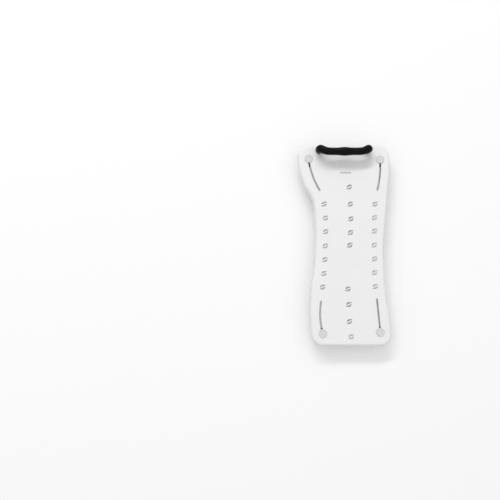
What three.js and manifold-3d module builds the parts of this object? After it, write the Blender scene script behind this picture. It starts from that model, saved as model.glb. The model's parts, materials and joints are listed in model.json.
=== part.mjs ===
// Bath board: a moulded plank that lies across a bath as a seat, with a grab handle at one end.
// Four round bumpers hang under it in slots, slide to the width of the bath and are turned tight by hand.
// Millimetres. +Z is up, +Y points to the handle end, and the board stands on its bumpers at z = 0.
import * as THREE from "three";
import { mergeVertices, toCreasedNormals } from "three/addons/utils/BufferGeometryUtils.js";
import Module from "manifold-3d";

const wasm = await Module();
wasm.setup();

// Clearances
const SEAT_GAP = 0.3;
const RUNNING_GAP = 0.3;
const BUMPER_PAD_GAP = 3;
const OVERRUN = 5;

// Moulded shell of the board
const BOARD_LENGTH = 690;
const BOARD_WIDTH = 318;
const SHELL_DEPTH = 30;
const PANEL_THICKNESS = 4;
const SKIRT_THICKNESS = 3;
const SKIRT_DRAFT = 1.2;
const EDGE_RADIUS = 10;
const CORNER_RADIUS = 40;
const RIB_THICKNESS = 2.2;
const RIB_RECESS = 1.5;
const WAIST_RIB_INSET = 18;

// Drain holes
const DRAIN_LENGTH = 19;
const DRAIN_HEAD_RADIUS = 3.3;
const DRAIN_TAIL_RADIUS = 1.8;
const DRAIN_BEND = 2.6;
const DRAIN_SPACING = 11;
const DRAIN_SLOPE = THREE.MathUtils.degToRad(18);
const DRIP_SLOT_WIDTH = 3;
const DRIP_SLOT_LENGTH = 38;
const DRIP_SLOT_INSET = 98.5;

// Slots and their guide channels
const CHANNEL_WIDTH = 10;
const CHANNEL_WALL = 3;
const HANDLE_LEFT_SLOT_RADIUS = 272;
const HANDLE_RIGHT_SLOT_RADIUS = 351;
const FAR_LEFT_SLOT_RADIUS = 242;
const HANDLE_LEFT_SLOT_INSET = 7;
const HANDLE_RIGHT_SLOT_INSET = 10;
const FAR_LEFT_SLOT_INSET = 1.4;
const FAR_RIGHT_SLOT_INSET = 6;

// Clamp bolt, its cap and the shoe that slides under the channel
const BOLT_DIAMETER = 6;
const BOLT_NECK = 6;
const BOLT_NECK_EXTRA = 1;
const BOLT_HEAD_DIAMETER = 15;
const BOLT_HEAD_THICKNESS = 1.2;
const BOLT_GRIP = 19;
const BOLT_TIP_CHAMFER = 1;
const CAP_DIAMETER = 28;
const CAP_HEIGHT = 3.2;
const CAP_EDGE = 1.3;
const CAP_RIM = 3;
const CAP_DISH = 0.6;
const SHOE_DIAMETER = 30;
const SHOE_THICKNESS = 3;
const SHOE_KEY_HEIGHT = 5;

// Bumper: hand-turned core, threaded insert and rubber sleeve
const BUMPER_HEIGHT = 44;
const SLEEVE_DIAMETER = 34;
const SLEEVE_THICKNESS = 6;
const SLEEVE_EDGE = 1.5;
const SLEEVE_GROOVE = 0.8;
const KNOB_HEIGHT = 12;
const KNOB_DIAMETER = 33;
const KNOB_EDGE = 1.6;
const KNOB_LOBE_DEPTH = 1.1;
const KNOB_DISH_DIAMETER = 18;
const KNOB_DISH_DEPTH = 1.5;
const FLANGE_DIAMETER = 30;
const FLANGE_THICKNESS = 5;
const FLANGE_EDGE = 1;
const INSERT_DIAMETER = 10;
const INSERT_LENGTH = 15;
const BORE_EXTRA = 6;

// Grab handle and its fixings
const HANDLE_SPAN = 166;
const HANDLE_BOW = 13.5;
const HANDLE_CENTRE_HEIGHT = 44;
const HANDLE_INSET = 21;
const GRIP_RADIUS = 15.5;
const GASKET_THICKNESS = 1.6;
const GASKET_LIP = 0.5;
const HANDLE_INSERT_DIAMETER = 11;
const HANDLE_INSERT_LENGTH = 18;
const HANDLE_BORE_EXTRA = 2;
const SCREW_DIAMETER = 6;
const SCREW_HEAD_DIAMETER = 10.5;
const SCREW_HEAD_HEIGHT = 4;
const SCREW_SOCKET = 5;
const SCREW_SOCKET_DEPTH = 2.2;
const SCREW_GRIP = 8;
const SCREW_TIP_INSET = 2;
const WASHER_DIAMETER = 16;
const WASHER_THICKNESS = 1.6;
const TOWER_WALL = 2.5;

// Rubber pads that rest on the rim of the bath
const PAD_LENGTH = 60;
const PAD_WIDTH = 16;
const PAD_THICKNESS = 3;
const PAD_END_INSET = 14;
const PAD_KEY_WIDTH = 8;
const PAD_KEY_HEIGHT = 8;
const PAD_POCKET_WALL = 2;
const HANDLE_PAD_SPACING = 76;
const FAR_PAD_SPACING = 124;

// Heights, from the floor up
const shoeBottom = BUMPER_HEIGHT + SEAT_GAP;
const shoeTop = shoeBottom + SHOE_THICKNESS;
const shellBottom = shoeTop + RUNNING_GAP;
const boardTop = shellBottom + SHELL_DEPTH;
const panelUnder = boardTop - PANEL_THICKNESS;
const panelMiddle = boardTop - PANEL_THICKNESS / 2;
const footBottom = boardTop + GASKET_THICKNESS + 2 * SEAT_GAP;

// Places along and across the board, as shares of half its length and half its width
const halfLength = BOARD_LENGTH / 2;
const halfWidth = BOARD_WIDTH / 2;
const leftEdgeShares = [
  [-1, 0.884],
  [-0.98, 0.78],
  [-0.871, 0.6],
  [-0.72, 0.48],
  [-0.657, 0.39],
  [-0.632, 0.22],
  [-0.632, 0.01],
  [-0.664, -0.24],
  [-0.714, -0.355],
  [-0.739, -0.49],
  [-0.764, -0.655],
  [-0.738, -0.884],
];
const rightEdgeShares = [
  [0.975, -0.884],
  [0.965, -0.8],
  [0.928, -0.655],
  [0.874, -0.49],
  [0.846, -0.3],
  [0.846, 0.01],
  [0.89, 0.22],
  [0.925, 0.39],
  [0.972, 0.6],
  [0.997, 0.7],
  [1, 0.884],
];
const drainShares = [
  [-0.443, 0.4],
  [-0.415, 0.261],
  [-0.414, 0.125],
  [-0.425, -0.017],
  [-0.437, -0.152],
  [-0.459, -0.29],
  [-0.492, -0.423],
  [0.106, 0.571],
  [0.124, 0.4],
  [0.131, 0.252],
  [0.12, 0.116],
  [0.101, -0.009],
  [0.048, -0.441],
  [0.064, -0.593],
  [0.071, -0.759],
  [0.105, -0.907],
  [0.656, 0.4],
  [0.642, 0.264],
  [0.631, 0.13],
  [0.622, -0.009],
  [0.625, -0.145],
  [0.62, -0.281],
  [0.633, -0.417],
];
const waistTopShare = 0.484;
const waistFootShare = -0.516;
const handleEndCrossShares = [0.91, 0.754, 0.649];
const waistCrossShares = [waistTopShare, 0.332, 0.194, 0.059, -0.08, -0.215, -0.355, waistFootShare];
const farEndCrossShares = [-0.675, -0.835];
const longRibShares = [-0.157, 0.371];
const handleEndRibShares = [-0.406, 0.588];
const farEndRibShares = [-0.355, 0.55];
const dripSlotShare = 0.029;
const handleCentreShare = -0.0225;
const farPadCentreShare = 0.1;

// Half of the handle's centre line: shares of half the span, of the bow, of the centre height and of the
// radius of the grip
const handleHalfShares = [
  { across: 1, bow: 0, up: 0, radius: 0.71 },
  { across: 1, bow: 0.05, up: 0.32, radius: 0.75 },
  { across: 1.01, bow: 0.14, up: 0.64, radius: 0.86 },
  { across: 0.96, bow: 0.28, up: 0.9, radius: 0.89 },
  { across: 0.82, bow: 0.74, up: 1, radius: 0.86 },
  { across: 0.64, bow: 0.98, up: 1.005, radius: 0.84 },
  { across: 0.3, bow: 1, up: 1, radius: 0.84 },
  { across: 0, bow: 1, up: 1, radius: 0.98 },
];

// Counts of facets and lobes, and limits that set fineness and no size
const OUTLINE_DIVISIONS = 3;
const EDGE_STEPS = 3;
const ROUND_SIDES = 16;
const SMALL_SIDES = 10;
const SLOT_STEPS = 6;
const CAP_STEPS = 4;
const HANDLE_SIDES = 14;
const HANDLE_STEPS = 26;
const KNOB_LOBES = 8;
const KNOB_POINTS_PER_LOBE = 4;
const SOCKET_SIDES = 6;
const TANGENT_PROBE = 1e-3;
const SLEEVE_GROOVES = 1;
const CREASE = THREE.MathUtils.degToRad(35);

// Materials, one fresh copy for each mesh
const finishes = {
  board: { color: 0xe9ebec, roughness: 0.42, metalness: 0 },
  cap: { color: 0xd2d4d5, roughness: 0.5, metalness: 0 },
  handle: { color: 0x17181a, roughness: 0.45, metalness: 0 },
  knob: { color: 0xd9dbdc, roughness: 0.5, metalness: 0 },
  rubber: { color: 0x2b2c2e, roughness: 0.85, metalness: 0 },
  steel: { color: 0xb9bcc0, roughness: 0.3, metalness: 1 },
  brass: { color: 0xb8965a, roughness: 0.35, metalness: 1 },
};

const origin = new THREE.Vector2();

function toSolid(geometry) {
  const bare = geometry.clone();
  bare.deleteAttribute("normal");
  bare.deleteAttribute("uv");
  const welded = mergeVertices(bare);
  return new wasm.Manifold(
    new wasm.Mesh({
      numProp: 3,
      vertProperties: welded.attributes.position.array,
      triVerts: new Uint32Array(welded.index.array),
    }),
  );
}

function meshOf(solid, name, finish) {
  const { vertProperties, triVerts } = solid.getMesh();
  const geometry = new THREE.BufferGeometry();
  geometry.setAttribute("position", new THREE.BufferAttribute(vertProperties, 3));
  geometry.setIndex(new THREE.BufferAttribute(triVerts, 1));
  const material = new THREE.MeshStandardMaterial(finishes[finish]);
  const mesh = new THREE.Mesh(toCreasedNormals(geometry, CREASE), material);
  mesh.name = name;
  return mesh;
}

// A closed skin over rings with the same number of points, whose first and last rings lie level.
// The rings run anticlockwise as seen from where the skin is going.
function loft(rings) {
  const count = rings[0].length;
  const vertices = rings.flat().flatMap((p) => [p.x, p.y, p.z]);
  const triangles = [];
  for (let ring = 0; ring < rings.length - 1; ring++) {
    for (let i = 0; i < count; i++) {
      const next = (i + 1) % count;
      const [a, b] = [ring * count + i, ring * count + next];
      triangles.push(a, b, b + count, a, b + count, a + count);
    }
  }
  const flat = rings[0].map((p) => new THREE.Vector2(p.x, p.y));
  const last = (rings.length - 1) * count;
  for (const [a, b, c] of THREE.ShapeUtils.triangulateShape(flat, [])) {
    triangles.push(a, c, b, last + a, last + b, last + c);
  }
  const geometry = new THREE.BufferGeometry();
  geometry.setAttribute("position", new THREE.Float32BufferAttribute(vertices, 3));
  geometry.setIndex(triangles);
  return geometry;
}

// A prism over a flat outline, from one height to another.
function prism(outline, bottom, top) {
  const shape = new THREE.Shape(outline);
  const geometry = new THREE.ExtrudeGeometry(shape, { depth: top - bottom, bevelEnabled: false });
  return toSolid(geometry.translate(0, 0, bottom));
}

// A solid of revolution about an upright axis. Its profile goes up the outside, as [radius, height].
function turned(profile, sides = ROUND_SIDES, place = origin) {
  const points = profile.map(([radius, height]) => new THREE.Vector2(radius, height));
  const geometry = new THREE.LatheGeometry(points, sides).rotateX(Math.PI / 2);
  return toSolid(geometry.translate(place.x, place.y, 0));
}

function cylinder(radius, bottom, top, sides = ROUND_SIDES, place = origin) {
  return turned(
    [
      [0, bottom],
      [radius, bottom],
      [radius, top],
      [0, top],
    ],
    sides,
    place,
  );
}

function tube(inner, outer, bottom, top, sides = ROUND_SIDES) {
  return turned(
    [
      [inner, bottom],
      [outer, bottom],
      [outer, top],
      [inner, top],
      [inner, bottom],
    ],
    sides,
  );
}

function box(width, length, bottom, top, place = origin) {
  const geometry = new THREE.BoxGeometry(width, length, top - bottom);
  return toSolid(geometry.translate(place.x, place.y, (bottom + top) / 2));
}

function joined(solids) {
  return solids.reduce((sum, solid) => sum.add(solid));
}

function onBoard([acrossShare, alongShare]) {
  return new THREE.Vector2(acrossShare * halfWidth, alongShare * halfLength);
}

// The outline of the board's lower edge, anticlockwise from the far end.
function boardOutline() {
  const left = leftEdgeShares.map(onBoard);
  const right = rightEdgeShares.map(onBoard);
  const cornerY = halfLength - CORNER_RADIUS;
  const [leftTop, leftFoot] = [left[0], left[left.length - 1]];
  const [rightFoot, rightTop] = [right[0], right[right.length - 1]];
  leftTop.y = rightTop.y = cornerY;
  leftFoot.y = rightFoot.y = -cornerY;
  const path = new THREE.Path();
  path.moveTo(leftFoot.x + CORNER_RADIUS, -halfLength);
  path.lineTo(rightFoot.x - CORNER_RADIUS, -halfLength);
  path.absarc(rightFoot.x - CORNER_RADIUS, -cornerY, CORNER_RADIUS, -Math.PI / 2, 0);
  path.splineThru(right.slice(1));
  path.absarc(rightTop.x - CORNER_RADIUS, cornerY, CORNER_RADIUS, 0, Math.PI / 2);
  path.lineTo(leftTop.x + CORNER_RADIUS, halfLength);
  path.absarc(leftTop.x + CORNER_RADIUS, cornerY, CORNER_RADIUS, Math.PI / 2, Math.PI);
  path.splineThru(left.slice(1));
  path.absarc(leftFoot.x + CORNER_RADIUS, -cornerY, CORNER_RADIUS, Math.PI, 1.5 * Math.PI);
  return path.getPoints(OUTLINE_DIVISIONS).slice(0, -1);
}

// The outline moved inwards by a distance, at one height.
function insetRing(outline, inset, height) {
  return outline.map((point, i) => {
    const before = outline[(i + outline.length - 1) % outline.length];
    const after = outline[(i + 1) % outline.length];
    const inA = point.clone().sub(before).normalize();
    const inB = after.clone().sub(point).normalize();
    const normal = new THREE.Vector2(-inA.y - inB.y, inA.x + inB.x).normalize();
    const stretch = 1 / Math.max(normal.dot(new THREE.Vector2(-inA.y, inA.x)), Math.SQRT1_2);
    return new THREE.Vector3(point.x, point.y, height).add(
      new THREE.Vector3(normal.x, normal.y, 0).multiplyScalar(inset * stretch),
    );
  });
}

// The board's skin, moved inwards by a wall. Its sides draw in by the draft and its upper edge is rounded.
function boardSkin(outline, wall, bottom, top, radius) {
  const rings = [insetRing(outline, wall, bottom), insetRing(outline, wall + SKIRT_DRAFT, top - radius)];
  for (let step = 1; step <= EDGE_STEPS; step++) {
    const angle = (step / EDGE_STEPS) * (Math.PI / 2);
    const inset = wall + SKIRT_DRAFT + radius * (1 - Math.cos(angle));
    rings.push(insetRing(outline, inset, top - radius + radius * Math.sin(angle)));
  }
  return toSolid(loft(rings));
}

// The closed outline around a stretch of a curve, with round ends.
function bandOutline(curve, from, to, halfWidthOfBand, steps) {
  const points = [];
  const side = (t, angle) => {
    const ahead = curve.getPoint(t + TANGENT_PROBE).sub(curve.getPoint(t - TANGENT_PROBE));
    const turn = Math.atan2(ahead.y, ahead.x) + angle;
    const reach = new THREE.Vector2(Math.cos(turn), Math.sin(turn)).multiplyScalar(halfWidthOfBand);
    points.push(curve.getPoint(t).add(reach));
  };
  for (let i = 0; i <= steps; i++) {
    side(from + ((to - from) * i) / steps, -Math.PI / 2);
  }
  for (let i = 1; i < CAP_STEPS; i++) {
    side(to, -Math.PI / 2 + (Math.PI * i) / CAP_STEPS);
  }
  for (let i = steps; i >= 0; i--) {
    side(from + ((to - from) * i) / steps, Math.PI / 2);
  }
  for (let i = 1; i < CAP_STEPS; i++) {
    side(from, Math.PI / 2 + (Math.PI * i) / CAP_STEPS);
  }
  return points;
}

// One slot: where its bolt stands at the outer stop and at the inner stop, and the line between them.
// A slot radius above zero curves round a centre on the right of the way in, and below zero on its left.
function slotTrack(slot) {
  const end = Math.sign(slot.innerShare[1]);
  const fromEnd = PAD_END_INSET + PAD_WIDTH / 2 + BUMPER_PAD_GAP + SLEEVE_DIAMETER / 2 + slot.inset;
  const outer = new THREE.Vector2(slot.outerShare * halfWidth, end * (halfLength - fromEnd));
  const inner = onBoard(slot.innerShare);
  const chord = inner.clone().sub(outer);
  if (!slot.radius) {
    return { curve: new THREE.LineCurve(outer, inner), outer, length: chord.length(), steps: 1 };
  }
  const middle = outer.clone().add(inner).divideScalar(2);
  const radius = Math.abs(slot.radius);
  const reach = Math.sqrt(radius ** 2 - (chord.length() / 2) ** 2) * Math.sign(slot.radius);
  const centre = middle.add(new THREE.Vector2(chord.y, -chord.x).setLength(reach));
  const startAngle = Math.atan2(outer.y - centre.y, outer.x - centre.x);
  const endAngle = Math.atan2(inner.y - centre.y, inner.x - centre.x);
  const clockwise = slot.radius > 0;
  const curve = new THREE.EllipseCurve(centre.x, centre.y, radius, radius, startAngle, endAngle, clockwise);
  return { curve, outer, length: curve.getLength(), steps: SLOT_STEPS, centre };
}

const slots = [
  {
    name: "handle_left",
    outerShare: -0.77,
    innerShare: [-0.546, 0.548],
    inset: HANDLE_LEFT_SLOT_INSET,
    radius: -HANDLE_LEFT_SLOT_RADIUS,
  },
  {
    name: "handle_right",
    outerShare: 0.779,
    innerShare: [0.714, 0.553],
    inset: HANDLE_RIGHT_SLOT_INSET,
    radius: HANDLE_RIGHT_SLOT_RADIUS,
  },
  {
    name: "far_left",
    outerShare: -0.496,
    innerShare: [-0.529, -0.573],
    inset: FAR_LEFT_SLOT_INSET,
    radius: FAR_LEFT_SLOT_RADIUS,
  },
  {
    name: "far_right",
    outerShare: 0.72,
    innerShare: [0.662, -0.553],
    inset: FAR_RIGHT_SLOT_INSET,
    radius: 0,
  },
].map((slot) => ({ ...slot, track: slotTrack(slot) }));

const pads = [
  { name: "handle_left", end: 1, x: handleCentreShare * halfWidth - HANDLE_PAD_SPACING / 2 },
  { name: "handle_right", end: 1, x: handleCentreShare * halfWidth + HANDLE_PAD_SPACING / 2 },
  { name: "far_left", end: -1, x: farPadCentreShare * halfWidth - FAR_PAD_SPACING / 2 },
  { name: "far_right", end: -1, x: farPadCentreShare * halfWidth + FAR_PAD_SPACING / 2 },
].map((pad) => ({ ...pad, y: pad.end * (halfLength - PAD_END_INSET) }));

const handleY = halfLength - HANDLE_INSET;
const handleX = handleCentreShare * halfWidth;
const legs = [
  { name: "left", x: handleX - HANDLE_SPAN / 2, y: handleY },
  { name: "right", x: handleX + HANDLE_SPAN / 2, y: handleY },
];

// Round-ended outline of a straight bar that lies along X.
function barOutline(place, length, width) {
  const reach = (length - width) / 2;
  const [from, to] = [-reach, reach].map((x) => new THREE.Vector2(place.x + x, place.y));
  return bandOutline(new THREE.LineCurve(from, to), 0, 1, width / 2, 1);
}

// The slot's cut: past both stops by half of the bolt's neck.
function slotOutline(track, halfWidthOfBand) {
  const past = (BOLT_NECK / 2 + RUNNING_GAP) / track.length;
  return bandOutline(track.curve, -past, 1 + past, halfWidthOfBand, track.steps);
}

// A comma-shaped drain: a large round head and a small round tail, joined by sides that arch.
// Both ends lie below its middle by the bend.
function drainOutline() {
  const headX = DRAIN_HEAD_RADIUS - DRAIN_LENGTH / 2;
  const tailX = DRAIN_LENGTH / 2 - DRAIN_TAIL_RADIUS;
  const lean = Math.acos((DRAIN_HEAD_RADIUS - DRAIN_TAIL_RADIUS) / (tailX - headX));
  const head = roundEnd(headX, DRAIN_HEAD_RADIUS, lean, 2 * Math.PI - lean, CAP_STEPS + 1);
  const tail = roundEnd(tailX, DRAIN_TAIL_RADIUS, -lean, lean, CAP_STEPS - 2);
  const lowerSide = head.at(-1).clone().lerp(tail[0], 0.5);
  const upperSide = tail.at(-1).clone().lerp(head[0], 0.5);
  return [...head, lowerSide, ...tail, upperSide].map(({ x, y }) => {
    const alongShare = x / (DRAIN_LENGTH / 2);
    return new THREE.Vector2(x, y - DRAIN_BEND * alongShare * alongShare);
  });
}

// Part of a circle whose centre lies on the x axis, from one angle to another.
function roundEnd(centreX, radius, from, to, steps) {
  return Array.from({ length: steps + 1 }, (_, i) => {
    const angle = from + ((to - from) * i) / steps;
    return new THREE.Vector2(centreX + radius * Math.cos(angle), radius * Math.sin(angle));
  });
}

// The two commas of one drain, the lower one turned half round.
function drainPair(place) {
  return [0, Math.PI].map((turn) => {
    const centre = new THREE.Vector2(0, DRAIN_SPACING / 2).rotateAround(origin, turn).add(place);
    return drainOutline().map((point) => point.rotateAround(origin, DRAIN_SLOPE + turn).add(centre));
  });
}

function boardShell() {
  const outline = boardOutline();
  const skin = boardSkin(outline, 0, shellBottom, boardTop, EDGE_RADIUS);
  const innerRadius = EDGE_RADIUS - PANEL_THICKNESS;
  const hollow = boardSkin(outline, SKIRT_THICKNESS, shellBottom, panelUnder, innerRadius);
  const mouth = toSolid(
    loft([
      insetRing(outline, SKIRT_THICKNESS, shellBottom - OVERRUN),
      insetRing(outline, SKIRT_THICKNESS, shellBottom),
      insetRing(outline, SKIRT_THICKNESS + SKIRT_DRAFT, shellBottom + SKIRT_DRAFT),
    ]),
  );
  const ribRoom = boardSkin(
    outline,
    SKIRT_THICKNESS / 2,
    shellBottom + RIB_RECESS,
    panelMiddle,
    EDGE_RADIUS - PANEL_THICKNESS / 2,
  );

  const ribs = [...handleEndCrossShares, ...waistCrossShares, ...farEndCrossShares].map((share) =>
    box(BOARD_WIDTH, RIB_THICKNESS, shellBottom, panelMiddle, onBoard([0, share])),
  );
  const longRib = (share, from, to) => {
    const length = Math.abs(to - from) * halfLength;
    return box(RIB_THICKNESS, length, shellBottom, panelMiddle, onBoard([share, (from + to) / 2]));
  };
  ribs.push(
    ...longRibShares.map((share) => longRib(share, -1, 1)),
    ...handleEndRibShares.map((share) => longRib(share, waistTopShare, handleEndCrossShares[0])),
    ...farEndRibShares.map((share) => longRib(share, -1, waistFootShare)),
  );
  const waistBody = (inset, bottom, top) =>
    toSolid(loft([insetRing(outline, inset, bottom), insetRing(outline, inset, top)]));
  const waistWall = waistBody(WAIST_RIB_INSET, shellBottom, panelMiddle).subtract(
    waistBody(WAIST_RIB_INSET + RIB_THICKNESS, shellBottom - OVERRUN, panelMiddle + OVERRUN),
  );
  const waistRoom = box(
    BOARD_WIDTH,
    (waistTopShare - waistFootShare) * halfLength,
    shellBottom - OVERRUN,
    panelMiddle + OVERRUN,
    onBoard([0, (waistTopShare + waistFootShare) / 2]),
  );
  ribs.push(waistWall.intersect(waistRoom));

  const towerRadius = WASHER_DIAMETER / 2 + SEAT_GAP + TOWER_WALL;
  ribs.push(...legs.map((leg) => cylinder(towerRadius, shellBottom, panelMiddle, ROUND_SIDES, leg)));

  const channelHalf = CHANNEL_WIDTH / 2;
  const walls = slots.map(({ track }) =>
    prism(slotOutline(track, channelHalf + CHANNEL_WALL), shellBottom, panelMiddle),
  );
  const pocketWidth = PAD_KEY_WIDTH + 2 * SEAT_GAP;
  const pocketLength = PAD_LENGTH - PAD_WIDTH + PAD_KEY_WIDTH + 2 * SEAT_GAP;
  for (const pad of pads) {
    const [length, width] = [pocketLength + 2 * PAD_POCKET_WALL, pocketWidth + 2 * PAD_POCKET_WALL];
    walls.push(prism(barOutline(pad, length, width), shellBottom, panelMiddle));
  }

  const cuts = [];
  const slotHalf = BOLT_NECK / 2 + RUNNING_GAP;
  for (const { track } of slots) {
    cuts.push(prism(slotOutline(track, channelHalf), shellBottom - OVERRUN, panelUnder));
    cuts.push(prism(slotOutline(track, slotHalf), panelUnder - OVERRUN, boardTop + OVERRUN));
  }
  for (const pad of pads) {
    cuts.push(prism(barOutline(pad, pocketLength, pocketWidth), shellBottom - OVERRUN, panelUnder));
  }
  const wellRadius = WASHER_DIAMETER / 2 + SEAT_GAP;
  const boreRadius = SCREW_DIAMETER / 2 + SEAT_GAP;
  for (const leg of legs) {
    cuts.push(cylinder(wellRadius, shellBottom - OVERRUN, boardTop - SCREW_GRIP, ROUND_SIDES, leg));
    cuts.push(cylinder(boreRadius, shellBottom, boardTop + OVERRUN, SMALL_SIDES, leg));
  }
  for (const comma of drainShares.map(onBoard).flatMap(drainPair)) {
    cuts.push(prism(comma, panelUnder - OVERRUN, boardTop + OVERRUN));
  }
  const dripPlace = new THREE.Vector2(dripSlotShare * halfWidth, halfLength - DRIP_SLOT_INSET);
  const dripSlot = barOutline(dripPlace, DRIP_SLOT_LENGTH, DRIP_SLOT_WIDTH);
  cuts.push(prism(dripSlot, panelUnder - OVERRUN, boardTop + OVERRUN));

  const shell = skin.subtract(hollow.add(mouth));
  return shell.add(joined(ribs).intersect(ribRoom)).add(joined(walls)).subtract(joined(cuts));
}

// The handle: one solid moulding, round in section, that swells at the grip and at both bends.
// It is made about the middle between its feet, which stand level at zero.
function handleSolid() {
  const whole = [
    ...handleHalfShares.map((share) => ({ ...share, across: -share.across })),
    ...handleHalfShares.slice(0, -1).reverse(),
  ];
  const centres = whole.map(
    ({ across, bow, up }) =>
      new THREE.Vector3((across * HANDLE_SPAN) / 2, -bow * HANDLE_BOW, up * HANDLE_CENTRE_HEIGHT),
  );
  const line = new THREE.CatmullRomCurve3(centres);
  const swell = whole.map(({ radius }, i) => new THREE.Vector2(i, radius * GRIP_RADIUS));
  const radii = new THREE.SplineCurve(swell);
  const sideways = new THREE.Vector3(0, 1, 0);
  const rings = [];
  for (let step = 0; step <= HANDLE_STEPS; step++) {
    const t = step / HANDLE_STEPS;
    const [centre, ahead] = [line.getPoint(t), line.getTangent(t)];
    if (step === 0) {
      ahead.set(0, 0, 1);
    }
    if (step === HANDLE_STEPS) {
      ahead.set(0, 0, -1);
    }
    const u = sideways.clone().addScaledVector(ahead, -sideways.dot(ahead)).normalize();
    const v = ahead.clone().cross(u);
    const radius = radii.getPoint(t).y;
    const ring = [];
    for (let i = 0; i < HANDLE_SIDES; i++) {
      const angle = (2 * Math.PI * i) / HANDLE_SIDES;
      ring.push(
        centre
          .clone()
          .addScaledVector(u, radius * Math.cos(angle))
          .addScaledVector(v, radius * Math.sin(angle)),
      );
    }
    rings.push(ring);
  }
  const boreRadius = HANDLE_INSERT_DIAMETER / 2 + SEAT_GAP;
  const boreTop = HANDLE_INSERT_LENGTH + HANDLE_BORE_EXTRA;
  const bores = [-HANDLE_SPAN / 2, HANDLE_SPAN / 2].map((x) =>
    cylinder(boreRadius, -OVERRUN, boreTop, SMALL_SIDES, new THREE.Vector2(x, 0)),
  );
  return toSolid(loft(rings)).subtract(joined(bores));
}

function handleFixings(leg) {
  const group = new THREE.Group();
  group.position.set(leg.x, leg.y, 0);
  const footRadius = handleHalfShares[0].radius * GRIP_RADIUS;
  const shank = SCREW_DIAMETER / 2;
  const gasketBottom = boardTop + SEAT_GAP;
  const washerTop = boardTop - SCREW_GRIP - SEAT_GAP;
  const headTop = washerTop - WASHER_THICKNESS - SEAT_GAP;
  const headBottom = headTop - SCREW_HEAD_HEIGHT;
  const tip = footBottom + HANDLE_INSERT_LENGTH - SCREW_TIP_INSET;
  const gasketTop = gasketBottom + GASKET_THICKNESS;
  const gasket = tube(shank + 2 * SEAT_GAP, footRadius + GASKET_LIP, gasketBottom, gasketTop);
  const insert = tube(
    shank + SEAT_GAP,
    HANDLE_INSERT_DIAMETER / 2,
    footBottom,
    footBottom + HANDLE_INSERT_LENGTH,
    SMALL_SIDES,
  );
  const washer = tube(shank + SEAT_GAP, WASHER_DIAMETER / 2, washerTop - WASHER_THICKNESS, washerTop);
  const socketTop = headBottom + SCREW_SOCKET_DEPTH;
  const screw = cylinder(SCREW_HEAD_DIAMETER / 2, headBottom, headTop)
    .add(cylinder(shank, socketTop, tip, SMALL_SIDES))
    .subtract(cylinder(SCREW_SOCKET / 2, headBottom - OVERRUN, socketTop, SOCKET_SIDES));
  group.add(
    meshOf(gasket, `handle_gasket_${leg.name}`, "rubber"),
    meshOf(insert, `handle_insert_${leg.name}`, "brass"),
    meshOf(washer, `handle_washer_${leg.name}`, "steel"),
    meshOf(screw, `handle_screw_${leg.name}`, "steel"),
  );
  return group;
}

// A rim pad: a flat rubber foot with a key that plugs into its pocket in the ribs.
function rimPad(pad) {
  const top = shellBottom - SEAT_GAP;
  const foot = prism(barOutline(origin, PAD_LENGTH, PAD_WIDTH), top - PAD_THICKNESS, top);
  const keyOutline = barOutline(origin, PAD_LENGTH - PAD_WIDTH + PAD_KEY_WIDTH, PAD_KEY_WIDTH);
  const key = prism(keyOutline, top - PAD_THICKNESS / 2, top + PAD_KEY_HEIGHT);
  const mesh = meshOf(foot.add(key), `rim_pad_${pad.name}`, "rubber");
  mesh.position.set(pad.x, pad.y, 0);
  return mesh;
}

// The cap over a bolt's head: a low disc with a dished top and a round pocket under it.
function boltCap() {
  const bottom = boardTop + SEAT_GAP;
  const top = bottom + CAP_HEIGHT;
  const radius = CAP_DIAMETER / 2;
  const disc = turned([
    [0, bottom],
    [radius, bottom],
    [radius, top - CAP_EDGE],
    [radius - CAP_EDGE, top],
    [radius - CAP_RIM, top],
    [radius - CAP_RIM - CAP_DISH, top - CAP_DISH],
    [0, top - CAP_DISH],
  ]);
  const pocket = cylinder(
    BOLT_HEAD_DIAMETER / 2 + SEAT_GAP,
    bottom - OVERRUN,
    bottom + BOLT_HEAD_THICKNESS + SEAT_GAP,
    SMALL_SIDES,
  );
  return disc.subtract(pocket);
}

// The bolt: a thin round head, a square neck that can't turn in the slot, and a round shank.
function clampBolt() {
  const headBottom = boardTop + SEAT_GAP;
  const headTop = headBottom + BOLT_HEAD_THICKNESS;
  const neckBottom = panelUnder - BOLT_NECK_EXTRA;
  const tip = BUMPER_HEIGHT - BOLT_GRIP;
  const shank = BOLT_DIAMETER / 2;
  const head = cylinder(BOLT_HEAD_DIAMETER / 2, headBottom, headTop, SMALL_SIDES);
  const neck = box(BOLT_NECK, BOLT_NECK, neckBottom, headTop - BOLT_HEAD_THICKNESS / 2);
  const shaft = turned(
    [
      [0, tip],
      [shank - BOLT_TIP_CHAMFER, tip],
      [shank, tip + BOLT_TIP_CHAMFER],
      [shank, panelMiddle],
      [0, panelMiddle],
    ],
    SMALL_SIDES,
  );
  return head.add(neck).add(shaft);
}

// The shoe: a round plate that bridges the channel's walls, with a key that runs inside the channel.
function clampShoe() {
  const keyWidth = CHANNEL_WIDTH - 2 * RUNNING_GAP;
  const keyOutline = barOutline(origin, BOLT_NECK + keyWidth, keyWidth);
  const key = prism(keyOutline, shoeTop - SHOE_THICKNESS / 2, shoeTop + SHOE_KEY_HEIGHT);
  const hole = cylinder(
    BOLT_DIAMETER / 2 + SEAT_GAP,
    shoeBottom - OVERRUN,
    shoeTop + SHOE_KEY_HEIGHT + OVERRUN,
    SMALL_SIDES,
  );
  return cylinder(SHOE_DIAMETER / 2, shoeBottom, shoeTop).add(key).subtract(hole);
}

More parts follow.
